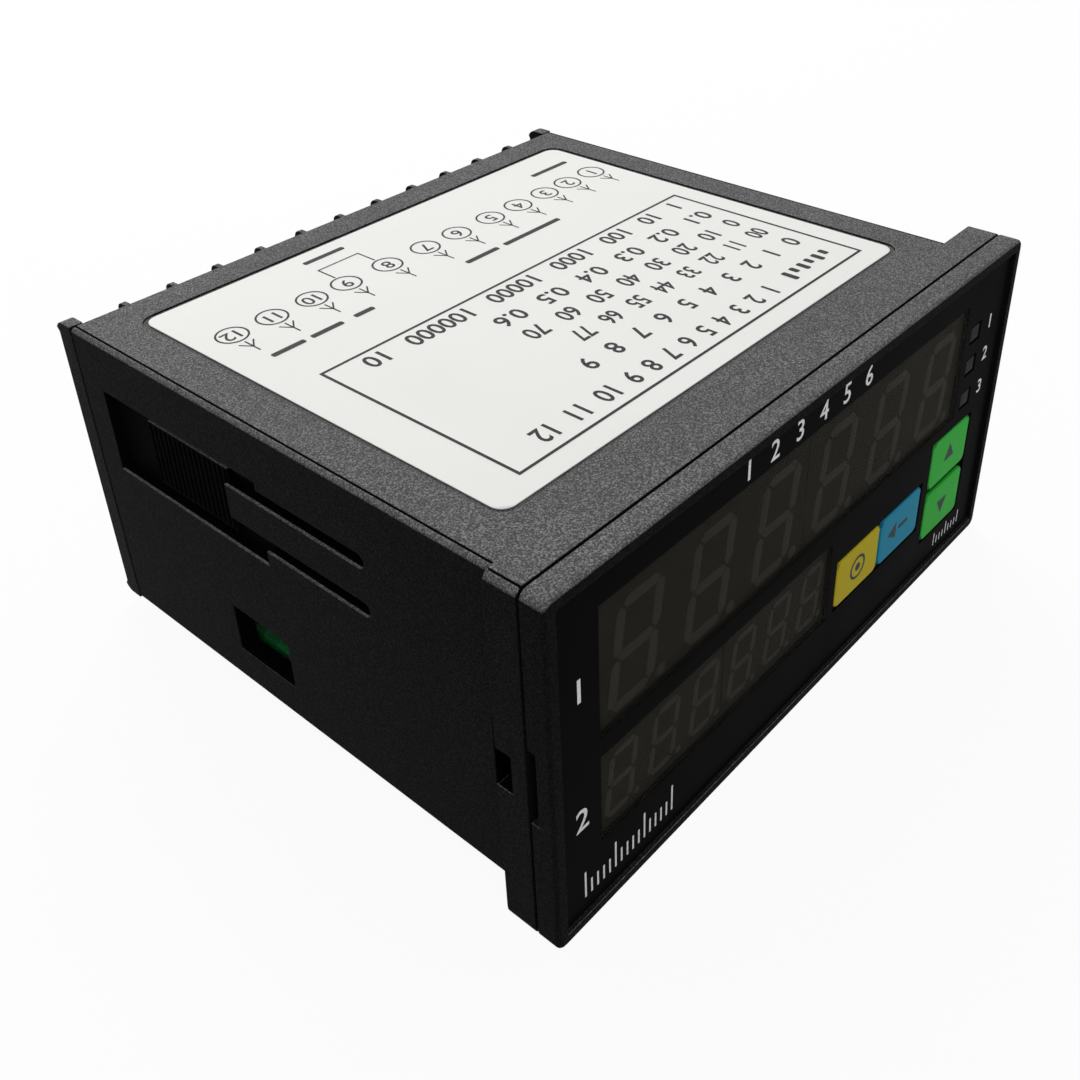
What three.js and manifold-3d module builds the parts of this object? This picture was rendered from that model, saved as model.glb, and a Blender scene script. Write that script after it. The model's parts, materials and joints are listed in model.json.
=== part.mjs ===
// Panel-mounted length counter of the 1/8-DIN size, built as an assembly of separate solids.
// Millimetres. X is to the right seen from the front, Y runs from the front face to the rear, Z is up.
import * as THREE from "three";
import { mergeVertices } from "three/addons/utils/BufferGeometryUtils.js";
import Module from "manifold-3d";

const wasm = await Module();
wasm.setup();

// Overall sizes
const bezelWidth = 96;
const bezelHeight = 48;
const overallDepth = 86.7;

// Shared clearances
const seatGap = 0.1;
const slipGap = 0.3;
const overrun = 1;

// Front bezel: a raised rim round a plate that carries the film
const rimWidth = 1.6;
const bezelDepth = 3;
const bezelCorner = 1.2;
const bezelEdgeRound = 0.5;
const filmSetback = 0.5;
const filmThickness = 0.3;
const plateThickness = 1.6;
const pryNotchDepth = 1;
const pryNotchBite = 1.4;
const pryNotchLength = 10.2;
const pryNotchHeight = 23.4;

// Casing: the flange stands proud of the body all round
const bezelGroove = 0.35;
const flangeThickness = 4.15;
const flangeSideLip = 2.7;
const flangeTopLip = 2.3;
const flangeBottomLip = 1.45;
const flangeCorner = 1.2;
const bodyCorner = 0.8;
const sideWall = 2.5;
const bottomWall = 2.2;
const topWall = 2;
const coverLip = 0.7;
const coverSeam = 0.2;
const coverRibThickness = 1.2;
const coverRibDrop = 2.4;
const coverRibLength = 14;
const coverRibShares = [0.24, 0.76];

// Rear cover: ears at both sides and barrier ribs between the terminals
const earDepth = 3.4;
const earThickness = 1.9;
const earCorner = 1.5;
const earRootDepth = 1.2;
const rearWall = 2;
const rearSideWall = 0.7;
const terminalBayDepth = 7.5;
const terminalShelf = 19;
const shelfThickness = 1.5;
const lowerWall = 1.5;
const bayCount = 12;
const ribThickness = 0.8;
const ribSetback = 0.5;
const ribDrop = 0.6;
const ribHeel = 3;
const ribTipRound = 1.2;
const ventCount = 14;
const ventWidth = 1.6;
const ventHeight = 7;

// Clip recess in each side wall, with its guide slots and its ratchet
const recessDepth = 1.5;
const recessHeight = 12;
const recessCentre = 32.25;
const recessRearMargin = 4.7;
const recessLength = 31.4;
const tongueLength = 6.5;
const tongueHeight = 4.8;
const slotHeight = 1.95;
const slotLength = 18.4;
const slotCentre = 32.75;
const ratchetRise = 0.8;
const ratchetHeight = 9.4;
const ratchetLength = 16.4;
const ratchetTeeth = 16;
const toothDepth = 0.4;
const toothShare = 0.5;

// Openings in the side walls
const serviceWindowLength = 11;
const serviceWindowHeight = 7.3;
const serviceWindowBottom = 7.1;
const serviceWindowRearMargin = 25.7;
const latchHoleLength = 5.2;
const latchHoleHeight = 5.2;
const latchHoleBottom = 20.6;
const latchHoleLead = 2.15;
const latchReleaseDrop = 4.6;
const latchThickness = 1.1;
const latchReach = 1.5;

// Rating label in its shallow recess
const labelThickness = 0.15;
const labelRecessDepth = 0.3;
const labelRecessMargin = 0.7;
const labelLeftMargin = 6;
const labelRightMargin = 5.2;
const labelFrontMargin = 6.6;
const labelRearMargin = 5.6;
const labelCorner = 1.8;

// Places on the face, as shares of the film's width and height: left, right, bottom, top
const windowShares = {
  upper: [0.067, 0.878, 0.531, 0.913],
  lower: [0.067, 0.545, 0.192, 0.469],
};
const keyShares = {
  enter: [0.567, 0.682, 0.199, 0.368],
  shift: [0.6865, 0.802, 0.199, 0.368],
  up: [0.8265, 0.942, 0.3125, 0.484],
  down: [0.8265, 0.942, 0.1165, 0.29],
};
const keyGroups = [["enter", "shift"], ["up", "down"]];
const lampShares = [
  [0.8975, 0.9235, 0.777, 0.826],
  [0.8975, 0.9235, 0.665, 0.714],
  [0.8975, 0.9235, 0.547, 0.596],
];
const postShares = [[0.1, 0.11], [0.72, 0.095], [0.917, 0.885], [0.68, 0.44]];

// Windows, digit modules and lamps
const paneThickness = 0.8;
const paneLap = 0.8;
const moduleLap = 0.8;
const lowerModuleSetback = 0.5;
const lampBodyLength = 5.3;
const lampLead = 0.5;
const lampLeadShares = [0.25, 0.75];
const lampSetback = 0.1;

// Keys and their switches
const keyTravel = 0.5;
const padThickness = 0.6;
const padCorner = 1;
const padPocketDepth = 0.9;
const keyShoulder = 1.2;
const keyFlangeThickness = 0.8;
const keyStemRadius = 1.6;
const keyStemLength = 0.9;
const plungerStandOut = 1;
const plungerRadius = 1.7;
const plungerSeat = 0.6;
const switchWidth = 6;
const switchHeight = 3.5;
const switchPocketSpare = 0.3;

// Boards and what they carry
const boardThickness = 1.6;
const displayBoardMargin = 1.9;
const displayBoardLift = 0.7;
const mainBoardMargin = 0.8;
const mainBoardLift = 2;
const mainBoardRearGap = 2;
const postRadius = 1.5;
const stakeRadius = 0.8;
const stakeLength = 0.8;
const bossRadius = 2.5;
const bossPinRadius = 1.2;
const bossPinLength = 0.8;
const bossShares = [[0.07, 0.14], [0.93, 0.14], [0.07, 0.8], [0.93, 0.8]];
const headerLength = 25.4;
const headerWidth = 2.5;
const headerHeight = 2.5;
const headerPins = 10;
const pinWidth = 0.6;
const pinHeight = 1.6;
const coreWidth = 16;
const coreHeight = 15;
const coreDepth = 5;
const coreLimb = 3.2;
const coreCentreLimb = 4;
const bobbinWall = 0.8;
const bobbinDepth = 11;
const transformerShares = [0.32, 0.38];
const mainCapacitorRadius = 6.4;
const mainCapacitorHeight = 21;
const mainCapacitorShares = [0.6, 0.3];
const smallCapacitorRadius = 4;
const smallCapacitorHeight = 13;
const smallCapacitorShares = [0.78, 0.34];
const capacitorGroove = 0.4;
const capacitorGrooveShare = 0.14;
const chipWidth = 10;
const chipHeight = 1.4;
const chipLeadSpan = 1;
const chipLeadThickness = 0.2;
const chipShares = [0.34, 0.62];
const isolatorLength = 9.2;
const isolatorWidth = 6.4;
const isolatorHeight = 3.4;
const isolatorLegs = 4;
const isolatorShares = [0.55, 0.66];

// Terminals: a bent lug and a clamp screw with its captive clamp plate in each bay
const lugSideGap = 0.35;
const lugHeight = 11;
const lugThickness = 0.8;
const lugLift = 5;
const tailWidth = 1.8;
const tailSetback = 2.1;
const screwLift = 10.5;
const shankRadius = 1.4;
const shankLength = 4.4;
const headMargin = 0.1;
const headHeight = 1.8;
const headDomeShare = 0.6;
const clampThickness = 0.7;
const driveWidth = 0.7;
const driveLength = 3;
const driveDepth = 1;

// Places that follow from the sizes above
const flangeFront = bezelDepth + bezelGroove;
const flangeRear = flangeFront + flangeThickness;
const casingRear = overallDepth - earDepth - slipGap;
const bodyHalf = bezelWidth / 2 - flangeSideLip;
const bodyTop = bezelHeight - flangeTopLip;
const bodyBottom = flangeBottomLip;
const innerHalf = bodyHalf - sideWall;
const innerBottom = bodyBottom + bottomWall;
const innerTop = bodyTop - topWall;
const filmHalf = bezelWidth / 2 - rimWidth;
const filmRear = filmSetback + filmThickness;
const plateFront = filmRear + seatGap;
const plateRear = plateFront + plateThickness;
const padPocketRear = plateFront + padPocketDepth;
const keyFlangeFront = plateRear + slipGap;
const keyFlangeRear = keyFlangeFront + keyFlangeThickness;
const keyStemRear = keyFlangeRear + keyStemLength;
const plungerFront = keyStemRear + slipGap;
const switchFront = plungerFront + plungerStandOut;
const displayBoardFront = switchFront + switchHeight;
const displayBoardRear = displayBoardFront + boardThickness;
const displayBoardHalf = innerHalf - displayBoardMargin;
const displayBoardBottom = innerBottom + displayBoardLift;
const displayBoardTop = innerTop - slipGap;
const moduleFront = plateRear + slipGap;
const mainBoardFront = displayBoardRear + stakeLength + slipGap;
const rearCoverRear = casingRear;
const mainBoardRear = rearCoverRear - lowerWall - mainBoardRearGap;
const mainBoardHalf = innerHalf - mainBoardMargin;
const mainBoardBottom = innerBottom + mainBoardLift;
const mainBoardTop = mainBoardBottom + boardThickness;
const rearWallRear = casingRear - terminalBayDepth;
const rearWallFront = rearWallRear - rearWall;
const rearHalf = bodyHalf - earThickness;
const rearCoverHalf = rearHalf - slipGap;
const bayEnd = rearCoverHalf - rearSideWall;
const rearCoverBottom = innerBottom + slipGap;
const rearCoverTop = innerTop - slipGap;
const terminalPitch = (2 * rearHalf + ribThickness) / bayCount;
const lugWidth = terminalPitch - ribThickness - slipGap - rearSideWall - 2 * lugSideGap;
const clampWidth = lugWidth;
const headRadius = clampWidth / 2 - headMargin;
const ribRear = overallDepth - ribSetback;
const earFront = casingRear + slipGap;
const lugRear = rearWallRear + seatGap + lugThickness;

// Materials
function finish(color, roughness, metalness = 0) {
  return new THREE.MeshStandardMaterial({ color, roughness, metalness });
}
const casingPlastic = finish(0x2a2b2b, 0.62);
const filmPrint = finish(0x101112, 0.35);
const smokedPane = finish(0x38362c, 0.2);
const labelPaper = finish(0xe9e9e3, 0.6);
const keyColours = {
  enter: finish(0xd9c42c, 0.45),
  shift: finish(0x2f9ac2, 0.45),
  up: finish(0x43bb55, 0.45),
  down: finish(0x43bb55, 0.45),
};
const moduleBody = finish(0x4a4840, 0.5);
const lampLens = finish(0x8f2a22, 0.3);
const boardLaminate = finish(0x1f6b35, 0.5);
const blackMoulding = finish(0x17181a, 0.5);
const ferrite = finish(0x3a3a3d, 0.55);
const windingTape = finish(0xc9a93a, 0.5);
const capacitorSleeve = finish(0x24344f, 0.4);
const tinnedBrass = finish(0xc0b283, 0.32, 1);
const platedSteel = finish(0xb9bbbd, 0.3, 1);

// Solids from geometries
function solid(geometry) {
  geometry.deleteAttribute("normal");
  geometry.deleteAttribute("uv");
  const merged = mergeVertices(geometry);
  return new wasm.Manifold(
    new wasm.Mesh({
      numProp: 3,
      vertProperties: merged.attributes.position.array,
      triVerts: new Uint32Array(merged.index.array),
    }),
  );
}

function block([x0, x1], [y0, y1], [z0, z1]) {
  const geometry = new THREE.BoxGeometry(x1 - x0, y1 - y0, z1 - z0);
  geometry.translate((x0 + x1) / 2, (y0 + y1) / 2, (z0 + z1) / 2);
  return solid(geometry);
}

// Spans along an axis
function around(centre, width) {
  return [centre - width / 2, centre + width / 2];
}

function grown([low, high], by) {
  return [low - by, high + by];
}

function middle([low, high]) {
  return (low + high) / 2;
}

function mirrored(sign, [near, far]) {
  return sign < 0 ? [-far, -near] : [near, far];
}

function roundedOutline([u0, u1], [v0, v1], radius) {
  const outline = new THREE.Shape();
  outline.moveTo(u0 + radius, v0);
  outline.absarc(u1 - radius, v0 + radius, radius, -Math.PI / 2, 0);
  outline.absarc(u1 - radius, v1 - radius, radius, 0, Math.PI / 2);
  outline.absarc(u0 + radius, v1 - radius, radius, Math.PI / 2, Math.PI);
  outline.absarc(u0 + radius, v0 + radius, radius, Math.PI, 1.5 * Math.PI);
  return outline;
}

// An outline in X and Z, drawn out along Y
function slabAlongY(outline, [y0, y1], curveSegments = 4) {
  const geometry = new THREE.ExtrudeGeometry(outline, { depth: y1 - y0, bevelEnabled: false, curveSegments });
  geometry.rotateX(Math.PI / 2);
  geometry.translate(0, y1, 0);
  return solid(geometry);
}

// An outline in Y and Z, drawn out along X
function slabAlongX(outline, [x0, x1], curveSegments = 4) {
  const geometry = new THREE.ExtrudeGeometry(outline, { depth: x1 - x0, bevelEnabled: false, curveSegments });
  const turn = new THREE.Matrix4().makeBasis(
    new THREE.Vector3(0, 1, 0),
    new THREE.Vector3(0, 0, 1),
    new THREE.Vector3(1, 0, 0),
  );
  geometry.applyMatrix4(turn);
  geometry.translate(x0, 0, 0);
  return solid(geometry);
}

// An outline in X and Y, drawn out along Z
function slabAlongZ(outline, [z0, z1], curveSegments = 4) {
  const geometry = new THREE.ExtrudeGeometry(outline, { depth: z1 - z0, bevelEnabled: false, curveSegments });
  geometry.translate(0, 0, z0);
  return solid(geometry);
}

function pegAlongY(x, z, radius, [y0, y1], sides = 16) {
  const geometry = new THREE.CylinderGeometry(radius, radius, y1 - y0, sides);
  geometry.translate(x, (y0 + y1) / 2, z);
  return solid(geometry);
}

function pegAlongZ(x, y, radius, [z0, z1], sides = 20) {
  const geometry = new THREE.CylinderGeometry(radius, radius, z1 - z0, sides);
  geometry.rotateX(Math.PI / 2);
  geometry.translate(x, y, (z0 + z1) / 2);
  return solid(geometry);
}

function joined(pieces) {
  return pieces.reduce((whole, piece) => whole.add(piece));
}

function without(piece, cuts) {
  return cuts.reduce((rest, cut) => rest.subtract(cut), piece);
}

const model = new THREE.Group();
model.position.y = -overallDepth / 2;

function place(name, piece, material) {
  const { numProp, vertProperties, triVerts } = piece.getMesh();
  const points = new Float32Array((vertProperties.length / numProp) * 3);
  for (let i = 0; i < points.length / 3; i++) {
    points.set(vertProperties.subarray(i * numProp, i * numProp + 3), i * 3);
  }
  let geometry = new THREE.BufferGeometry();
  geometry.setAttribute("position", new THREE.BufferAttribute(points, 3));
  geometry.setIndex(new THREE.BufferAttribute(triVerts, 1));
  geometry = geometry.toNonIndexed();
  geometry.computeVertexNormals();
  const mesh = new THREE.Mesh(geometry, material);
  mesh.name = name;
  model.add(mesh);
}

// A rectangle on the face from its shares of the film
function onFace([left, right, bottom, top]) {
  const width = 2 * filmHalf;
  const height = bezelHeight - 2 * rimWidth;
  return {
    x: [left * width - filmHalf, right * width - filmHalf],
    z: [rimWidth + bottom * height, rimWidth + top * height],
  };
}

const keyPads = Object.fromEntries(Object.entries(keyShares).map(([name, shares]) => [name, onFace(shares)]));
const panes = { upper: onFace(windowShares.upper), lower: onFace(windowShares.lower) };
const lamps = lampShares.map(onFace);
const posts = postShares.map(([x, z]) => onFace([x, x, z, z])).map(({ x, z }) => ({ x: x[0], z: z[0] }));
const keyOpenings = keyGroups.map((names) => {
  const pads = names.map((name) => keyPads[name]);
  const left = Math.min(...pads.map((pad) => pad.x[0]));
  const right = Math.max(...pads.map((pad) => pad.x[1]));
  const bottom = Math.min(...pads.map((pad) => pad.z[0]));
  const top = Math.max(...pads.map((pad) => pad.z[1]));
  return { x: grown([left, right], slipGap), z: grown([bottom, top], slipGap) };
});

// Both sides of the casing: -1 is the left and 1 the right
const sides = [-1, 1];

// The hole that the bezel's latch snaps into: it notches the rear edge of the flange, and in the
// side wall behind the flange it reaches further down, so that a blade can press the latch back
const latchHoleY = [flangeRear - latchHoleLead, flangeRear - latchHoleLead + latchHoleLength];
const latchHoleZ = [latchHoleBottom, latchHoleBottom + latchHoleHeight];

function buildBezel() {
  const outline = roundedOutline([-bezelWidth / 2, bezelWidth / 2], [0, bezelHeight], bezelCorner);
  const roundedBlank = new THREE.ExtrudeGeometry(outline, {
    depth: bezelDepth,
    curveSegments: 4,
    bevelThickness: bezelEdgeRound,
    bevelSize: bezelEdgeRound,
    bevelOffset: -bezelEdgeRound,
    bevelSegments: 3,
  });
  roundedBlank.rotateX(Math.PI / 2);
  roundedBlank.translate(0, bezelDepth + bezelEdgeRound, 0);
  const tray = block(
    [-bezelWidth / 2 - overrun, bezelWidth / 2 + overrun],
    [bezelDepth, bezelDepth + bezelEdgeRound + overrun],
    [-overrun, bezelHeight + overrun],
  );
  const film = onFace([0, 1, 0, 1]);
  const cuts = [tray, block(film.x, [-overrun, plateFront], film.z)];
  cuts.push(block(grown([-innerHalf, innerHalf], -slipGap), [plateRear, bezelDepth + overrun], film.z));
  for (const pane of Object.values(panes)) {
    const seatRear = plateFront + paneThickness + seatGap;
    cuts.push(block(grown(pane.x, paneLap + slipGap), [0, seatRear], grown(pane.z, paneLap)));
    cuts.push(block(pane.x, [0, plateRear + overrun], pane.z));
  }
  for (const opening of keyOpenings) cuts.push(block(opening.x, [0, padPocketRear], opening.z));
  for (const pad of Object.values(keyPads)) {
    const neck = slipGap - keyShoulder;
    cuts.push(block(grown(pad.x, neck), [0, plateRear + overrun], grown(pad.z, neck)));
  }
  for (const lamp of lamps) {
    cuts.push(block(grown(lamp.x, slipGap), [0, plateRear + overrun], grown(lamp.z, slipGap)));
  }
  for (const sign of sides) {
    cuts.push(
      block(
        mirrored(sign, [bezelWidth / 2 - pryNotchBite, bezelWidth / 2 + overrun]),
        [bezelDepth - pryNotchDepth, bezelDepth + overrun],
        around(pryNotchHeight, pryNotchLength),
      ),
    );
  }
  const stakes = posts.map(({ x, z }) =>
    joined([
      pegAlongY(x, z, postRadius, [plateRear - seatGap, displayBoardFront - seatGap]),
      pegAlongY(x, z, stakeRadius, [plateRear, displayBoardRear + stakeLength]),
    ]),
  );
  const hookOuter = innerHalf - slipGap;
  const hooks = sides.map((sign) =>
    joined([
      block(
        mirrored(sign, [hookOuter - latchThickness, hookOuter]),
        [plateRear - seatGap, latchHoleY[1]],
        grown(latchHoleZ, -slipGap),
      ),
      block(
        mirrored(sign, [hookOuter - latchThickness, innerHalf + latchReach]),
        grown(latchHoleY, -slipGap),
        grown(latchHoleZ, -slipGap),
      ),
    ]),
  );
  return joined([without(solid(roundedBlank), cuts), ...stakes, ...hooks]);
}

function buildFilm() {
  const film = onFace([0, 1, 0, 1]);
  const thickness = [filmSetback, filmRear];
  const through = grown(thickness, overrun);
  const cuts = Object.values(panes).map((pane) => block(pane.x, through, pane.z));
  for (const opening of keyOpenings) cuts.push(block(opening.x, through, opening.z));
  for (const lamp of lamps) cuts.push(block(grown(lamp.x, slipGap), through, grown(lamp.z, slipGap)));
  return without(block(grown(film.x, -seatGap), thickness, grown(film.z, -seatGap)), cuts);
}

function buildPane(pane) {
  const thickness = [plateFront, plateFront + paneThickness];
  return block(grown(pane.x, paneLap), thickness, grown(pane.z, paneLap - slipGap));
}

function buildKey(pad) {
  const padMiddle = filmSetback + padThickness / 2;
  const flangeMiddle = keyFlangeRear - keyFlangeThickness / 2;
  return joined([
    slabAlongY(roundedOutline(pad.x, pad.z, padCorner), [filmSetback, filmSetback + padThickness]),
    block(grown(pad.x, -keyShoulder), [padMiddle, flangeMiddle], grown(pad.z, -keyShoulder)),
    block(pad.x, [keyFlangeFront, keyFlangeRear], pad.z),
    pegAlongY(middle(pad.x), middle(pad.z), keyStemRadius, [flangeMiddle, keyStemRear]),
  ]);
}

function buildPlunger(pad) {
  return pegAlongY(middle(pad.x), middle(pad.z), plungerRadius, [plungerFront, switchFront + plungerSeat]);
}

function buildSwitch(pad) {
  const body = block(
    around(middle(pad.x), switchWidth),
    [switchFront, displayBoardFront - seatGap],
    around(middle(pad.z), switchWidth),
  );
  const pocket = pegAlongY(middle(pad.x), middle(pad.z), plungerRadius + slipGap, [
    switchFront - overrun,
    switchFront + plungerSeat + keyTravel + switchPocketSpare,
  ]);
  return without(body, [pocket]);
}

function buildDigitModule(pane, share, setback) {
  const width = (pane.x[1] - pane.x[0]) / 2;
  const left = pane.x[0] + share * 2 * width;
  return block(
    [left + seatGap / 2, left + width - seatGap / 2],
    [moduleFront + setback, displayBoardFront - seatGap],
    grown(pane.z, moduleLap),
  );
}

function buildLamp(lamp) {
  const lensRear = filmSetback + lampSetback + lampBodyLength;
  const leads = lampLeadShares.map((share) =>
    block(
      around(THREE.MathUtils.lerp(...lamp.x, share), lampLead),
      [lensRear - lampLead, displayBoardFront - seatGap],
      around(middle(lamp.z), lampLead),
    ),
  );
  return joined([block(lamp.x, [filmSetback + lampSetback, lensRear], lamp.z), ...leads]);
}

function buildDisplayBoard() {
  const board = block(
    [-displayBoardHalf, displayBoardHalf],
    [displayBoardFront, displayBoardRear],
    [displayBoardBottom, displayBoardTop],
  );
  const holes = posts.map(({ x, z }) =>
    pegAlongY(x, z, stakeRadius + slipGap, grown([displayBoardFront, displayBoardRear], overrun)),
  );
  return without(board, holes);
}

// Clip recess, seen on the right side wall: cuts and the ratchet that stands in it
function clipRecess(sign) {
  const recessRear = casingRear - recessRearMargin;
  const recessFront = recessRear - recessLength;
  const cutDepth = mirrored(sign, [bodyHalf - recessDepth, bodyHalf + overrun]);
  const pocket = block(cutDepth, [recessFront, recessRear], around(recessCentre, recessHeight));
  const tongue = block(
    cutDepth,
    [recessFront - overrun, recessFront + tongueLength],
    around(slotCentre, tongueHeight),
  );
  const slots = [-1, 1].map((side) => {
    const height = around(slotCentre + (side * (tongueHeight + slotHeight)) / 2, slotHeight);
    const length = [recessFront - slotLength, recessFront + overrun];
    return slabAlongX(roundedOutline(length, height, slotHeight / 2), cutDepth);
  });
  const ratchetFront = recessFront + tongueLength;
  const floor = bodyHalf - recessDepth;
  const plate = block(
    mirrored(sign, [floor - overrun / 2, floor + ratchetRise]),
    [ratchetFront, ratchetFront + ratchetLength],
    around(recessCentre, ratchetHeight),
  );
  const pitch = ratchetLength / ratchetTeeth;
  const gullets = [];
  for (let i = 0; i < ratchetTeeth; i++) {
    gullets.push(
      block(
        mirrored(sign, [floor + ratchetRise - toothDepth, floor + ratchetRise + overrun]),
        around(ratchetFront + (i + 0.5) * pitch, pitch * toothShare),
        around(recessCentre, ratchetHeight - 2 * toothDepth),
      ),
    );
  }
  return { cut: joined([without(pocket, [tongue]), ...slots]), ratchet: without(plate, gullets) };
}

function buildBodyShell() {
  const body = slabAlongY(
    roundedOutline([-bodyHalf, bodyHalf], [bodyBottom, bodyTop], bodyCorner),
    [flangeFront + overrun, casingRear],
  );
  const flange = slabAlongY(
    roundedOutline([-bezelWidth / 2, bezelWidth / 2], [0, bezelHeight], flangeCorner),
    [flangeFront, flangeRear],
  );
  const shoulder = innerTop - seatGap;
  const beyond = bezelHeight + overrun;
  const lengthwise = [flangeFront - overrun, casingRear + overrun];
  const flangeSpan = grown([-bezelWidth / 2, bezelWidth / 2], -coverLip);
  const cuts = [
    block([-innerHalf, innerHalf], lengthwise, [innerBottom, beyond]),
    block([-rearHalf, rearHalf], [rearWallFront - slipGap, casingRear + overrun], [innerBottom, beyond]),
    block(grown([-bodyHalf, bodyHalf], -coverLip), lengthwise, [shoulder, beyond]),
    block(flangeSpan, [flangeFront - overrun, flangeRear], [bodyTop, beyond]),
  ];
  const windowRear = casingRear - serviceWindowRearMargin;
  cuts.push(
    block(
      mirrored(-1, [innerHalf - overrun, bodyHalf + overrun]),
      [windowRear - serviceWindowLength, windowRear],
      [serviceWindowBottom, serviceWindowBottom + serviceWindowHeight],
    ),
  );
  const additions = [];
  for (const sign of sides) {
    cuts.push(block(mirrored(sign, [innerHalf - overrun, bezelWidth / 2 + overrun]), latchHoleY, latchHoleZ));
    cuts.push(
      block(
        mirrored(sign, [innerHalf - overrun, bodyHalf + overrun]),
        [flangeRear, latchHoleY[1]],
        [latchHoleZ[0] - latchReleaseDrop, latchHoleZ[0] + overrun],
      ),
    );
    const { cut, ratchet } = clipRecess(sign);
    cuts.push(cut);
    additions.push(ratchet);
  }
  for (const { x, y } of bossPlaces()) {
    additions.push(pegAlongZ(x, y, bossRadius, [innerBottom - bottomWall / 2, mainBoardBottom - seatGap]));
    additions.push(pegAlongZ(x, y, bossPinRadius, [innerBottom, mainBoardTop + bossPinLength], 12));
  }
  return joined([without(body.add(flange), cuts), ...additions]);
}

function bossPlaces() {
  return bossShares.map(([across, along]) => ({
    x: THREE.MathUtils.lerp(-mainBoardHalf, mainBoardHalf, across),
    y: THREE.MathUtils.lerp(mainBoardFront, mainBoardRear, along),
  }));
}

const coverHalf = bodyHalf - coverLip - coverSeam;
const label = {
  x: [labelLeftMargin - coverHalf, coverHalf - labelRightMargin],
  y: [flangeRear + labelFrontMargin, casingRear - labelRearMargin],
};

function buildTopCover() {
  const plate = block([-coverHalf, coverHalf], [flangeRear - overrun, casingRear], [innerTop, bodyTop]);
  const web = block([-coverHalf, coverHalf], [flangeFront, flangeRear], [innerTop, bezelHeight]);
  const flangeOutline = grown([-bezelWidth / 2, bezelWidth / 2], -coverLip - coverSeam);
  const flange = block(flangeOutline, [flangeFront, flangeRear], [bodyTop + seatGap, bezelHeight]);
  const recessX = grown(label.x, labelRecessMargin);
  const recessY = grown(label.y, labelRecessMargin);
  const recess = slabAlongZ(
    roundedOutline(recessX, recessY, labelCorner + labelRecessMargin),
    [bodyTop - labelRecessDepth, bodyTop + overrun],
  );
  const ribs = [];
  for (const sign of sides) {
    for (const share of coverRibShares) {
      ribs.push(
        block(
          mirrored(sign, [innerHalf - slipGap - coverRibThickness, innerHalf - slipGap]),
          around(THREE.MathUtils.lerp(flangeRear, casingRear, share), coverRibLength),
          [innerTop - coverRibDrop, innerTop + topWall / 2],
        ),
      );
    }
  }
  return joined([without(joined([plate, web, flange]), [recess]), ...ribs]);
}

function buildLabel() {
  const bottom = bodyTop - labelRecessDepth + seatGap;
  return slabAlongZ(roundedOutline(label.x, label.y, labelCorner), [bottom, bottom + labelThickness]);
}

// Bays of the terminal row, each between two ribs or between a rib and the side
const ribPlaces = [];
for (let i = 1; i < bayCount; i++) ribPlaces.push(-rearHalf - ribThickness / 2 + i * terminalPitch);
const bayPlaces = [];
for (let i = 0; i < bayCount; i++) {
  const left = i === 0 ? -bayEnd : ribPlaces[i - 1] + ribThickness / 2;
  const right = i === bayCount - 1 ? bayEnd : ribPlaces[i] - ribThickness / 2;
  bayPlaces.push((left + right) / 2);
}
const lugZ = [terminalShelf + lugLift, terminalShelf + lugLift + lugHeight];
const tailZ = [lugZ[0], lugZ[0] + lugThickness];
const tailY = [rearWallFront - tailSetback - lugThickness, rearWallFront - tailSetback];
const screwZ = terminalShelf + screwLift;

function buildRearCover() {
  const height = [rearCoverBottom, rearCoverTop];
  const width = [-rearCoverHalf, rearCoverHalf];
  const shelfBottom = terminalShelf - shelfThickness;
  const pieces = [
    block(width, [rearWallFront, rearWallRear], [shelfBottom, rearCoverTop]),
    block(width, [rearWallFront, rearCoverRear], [shelfBottom, terminalShelf]),
    block(width, [rearCoverRear - lowerWall, rearCoverRear], [rearCoverBottom, terminalShelf]),
  ];
  const ribTop = bodyTop - ribDrop;
  const ribOutline = new THREE.Shape();
  ribOutline.moveTo(rearWallRear - rearWall / 2, terminalShelf - shelfThickness / 2);
  ribOutline.lineTo(casingRear, terminalShelf - shelfThickness / 2);
  ribOutline.lineTo(ribRear, terminalShelf + ribHeel);
  ribOutline.absarc(ribRear - ribTipRound, ribTop - ribTipRound, ribTipRound, 0, Math.PI / 2);
  ribOutline.lineTo(earFront, ribTop);
  ribOutline.lineTo(earFront, rearCoverTop);
  ribOutline.lineTo(rearWallRear - rearWall / 2, rearCoverTop);
  for (const x of ribPlaces) pieces.push(slabAlongX(ribOutline, around(x, ribThickness)));
  const earOutline = roundedOutline([earFront - earCorner, overallDepth], [bodyBottom, bodyTop], earCorner);
  const earCut = block(
    grown([-bodyHalf, bodyHalf], overrun),
    [earFront - 2 * earCorner, earFront],
    [0, bezelHeight],
  );
  const earRoot = [earFront, earFront + earRootDepth];
  for (const sign of sides) {
    pieces.push(block(mirrored(sign, [bayEnd, rearCoverHalf]), [rearWallFront, earRoot[1]], height));
    pieces.push(block(mirrored(sign, [bayEnd, bodyHalf]), earRoot, grown(height, -slipGap)));
    pieces.push(slabAlongX(earOutline, mirrored(sign, [rearHalf, bodyHalf])).subtract(earCut));
  }
  const cuts = [];
  for (const x of bayPlaces) {
    const through = grown([rearWallFront, rearWallRear], overrun);
    cuts.push(pegAlongY(x, screwZ, shankRadius + slipGap, through, 12));
    cuts.push(block(around(x, tailWidth + 2 * slipGap), through, grown(tailZ, slipGap)));
  }
  const ventZ = around(middle([rearCoverBottom, shelfBottom]), ventHeight);
  const ventY = grown([rearCoverRear - lowerWall, rearCoverRear], overrun);
  for (let i = 0; i < ventCount; i++) {
    const x = THREE.MathUtils.lerp(-bayEnd, bayEnd, (i + 1) / (ventCount + 1));
    cuts.push(block(around(x, ventWidth), ventY, ventZ));
  }
  return without(joined(pieces), cuts);
}

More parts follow.
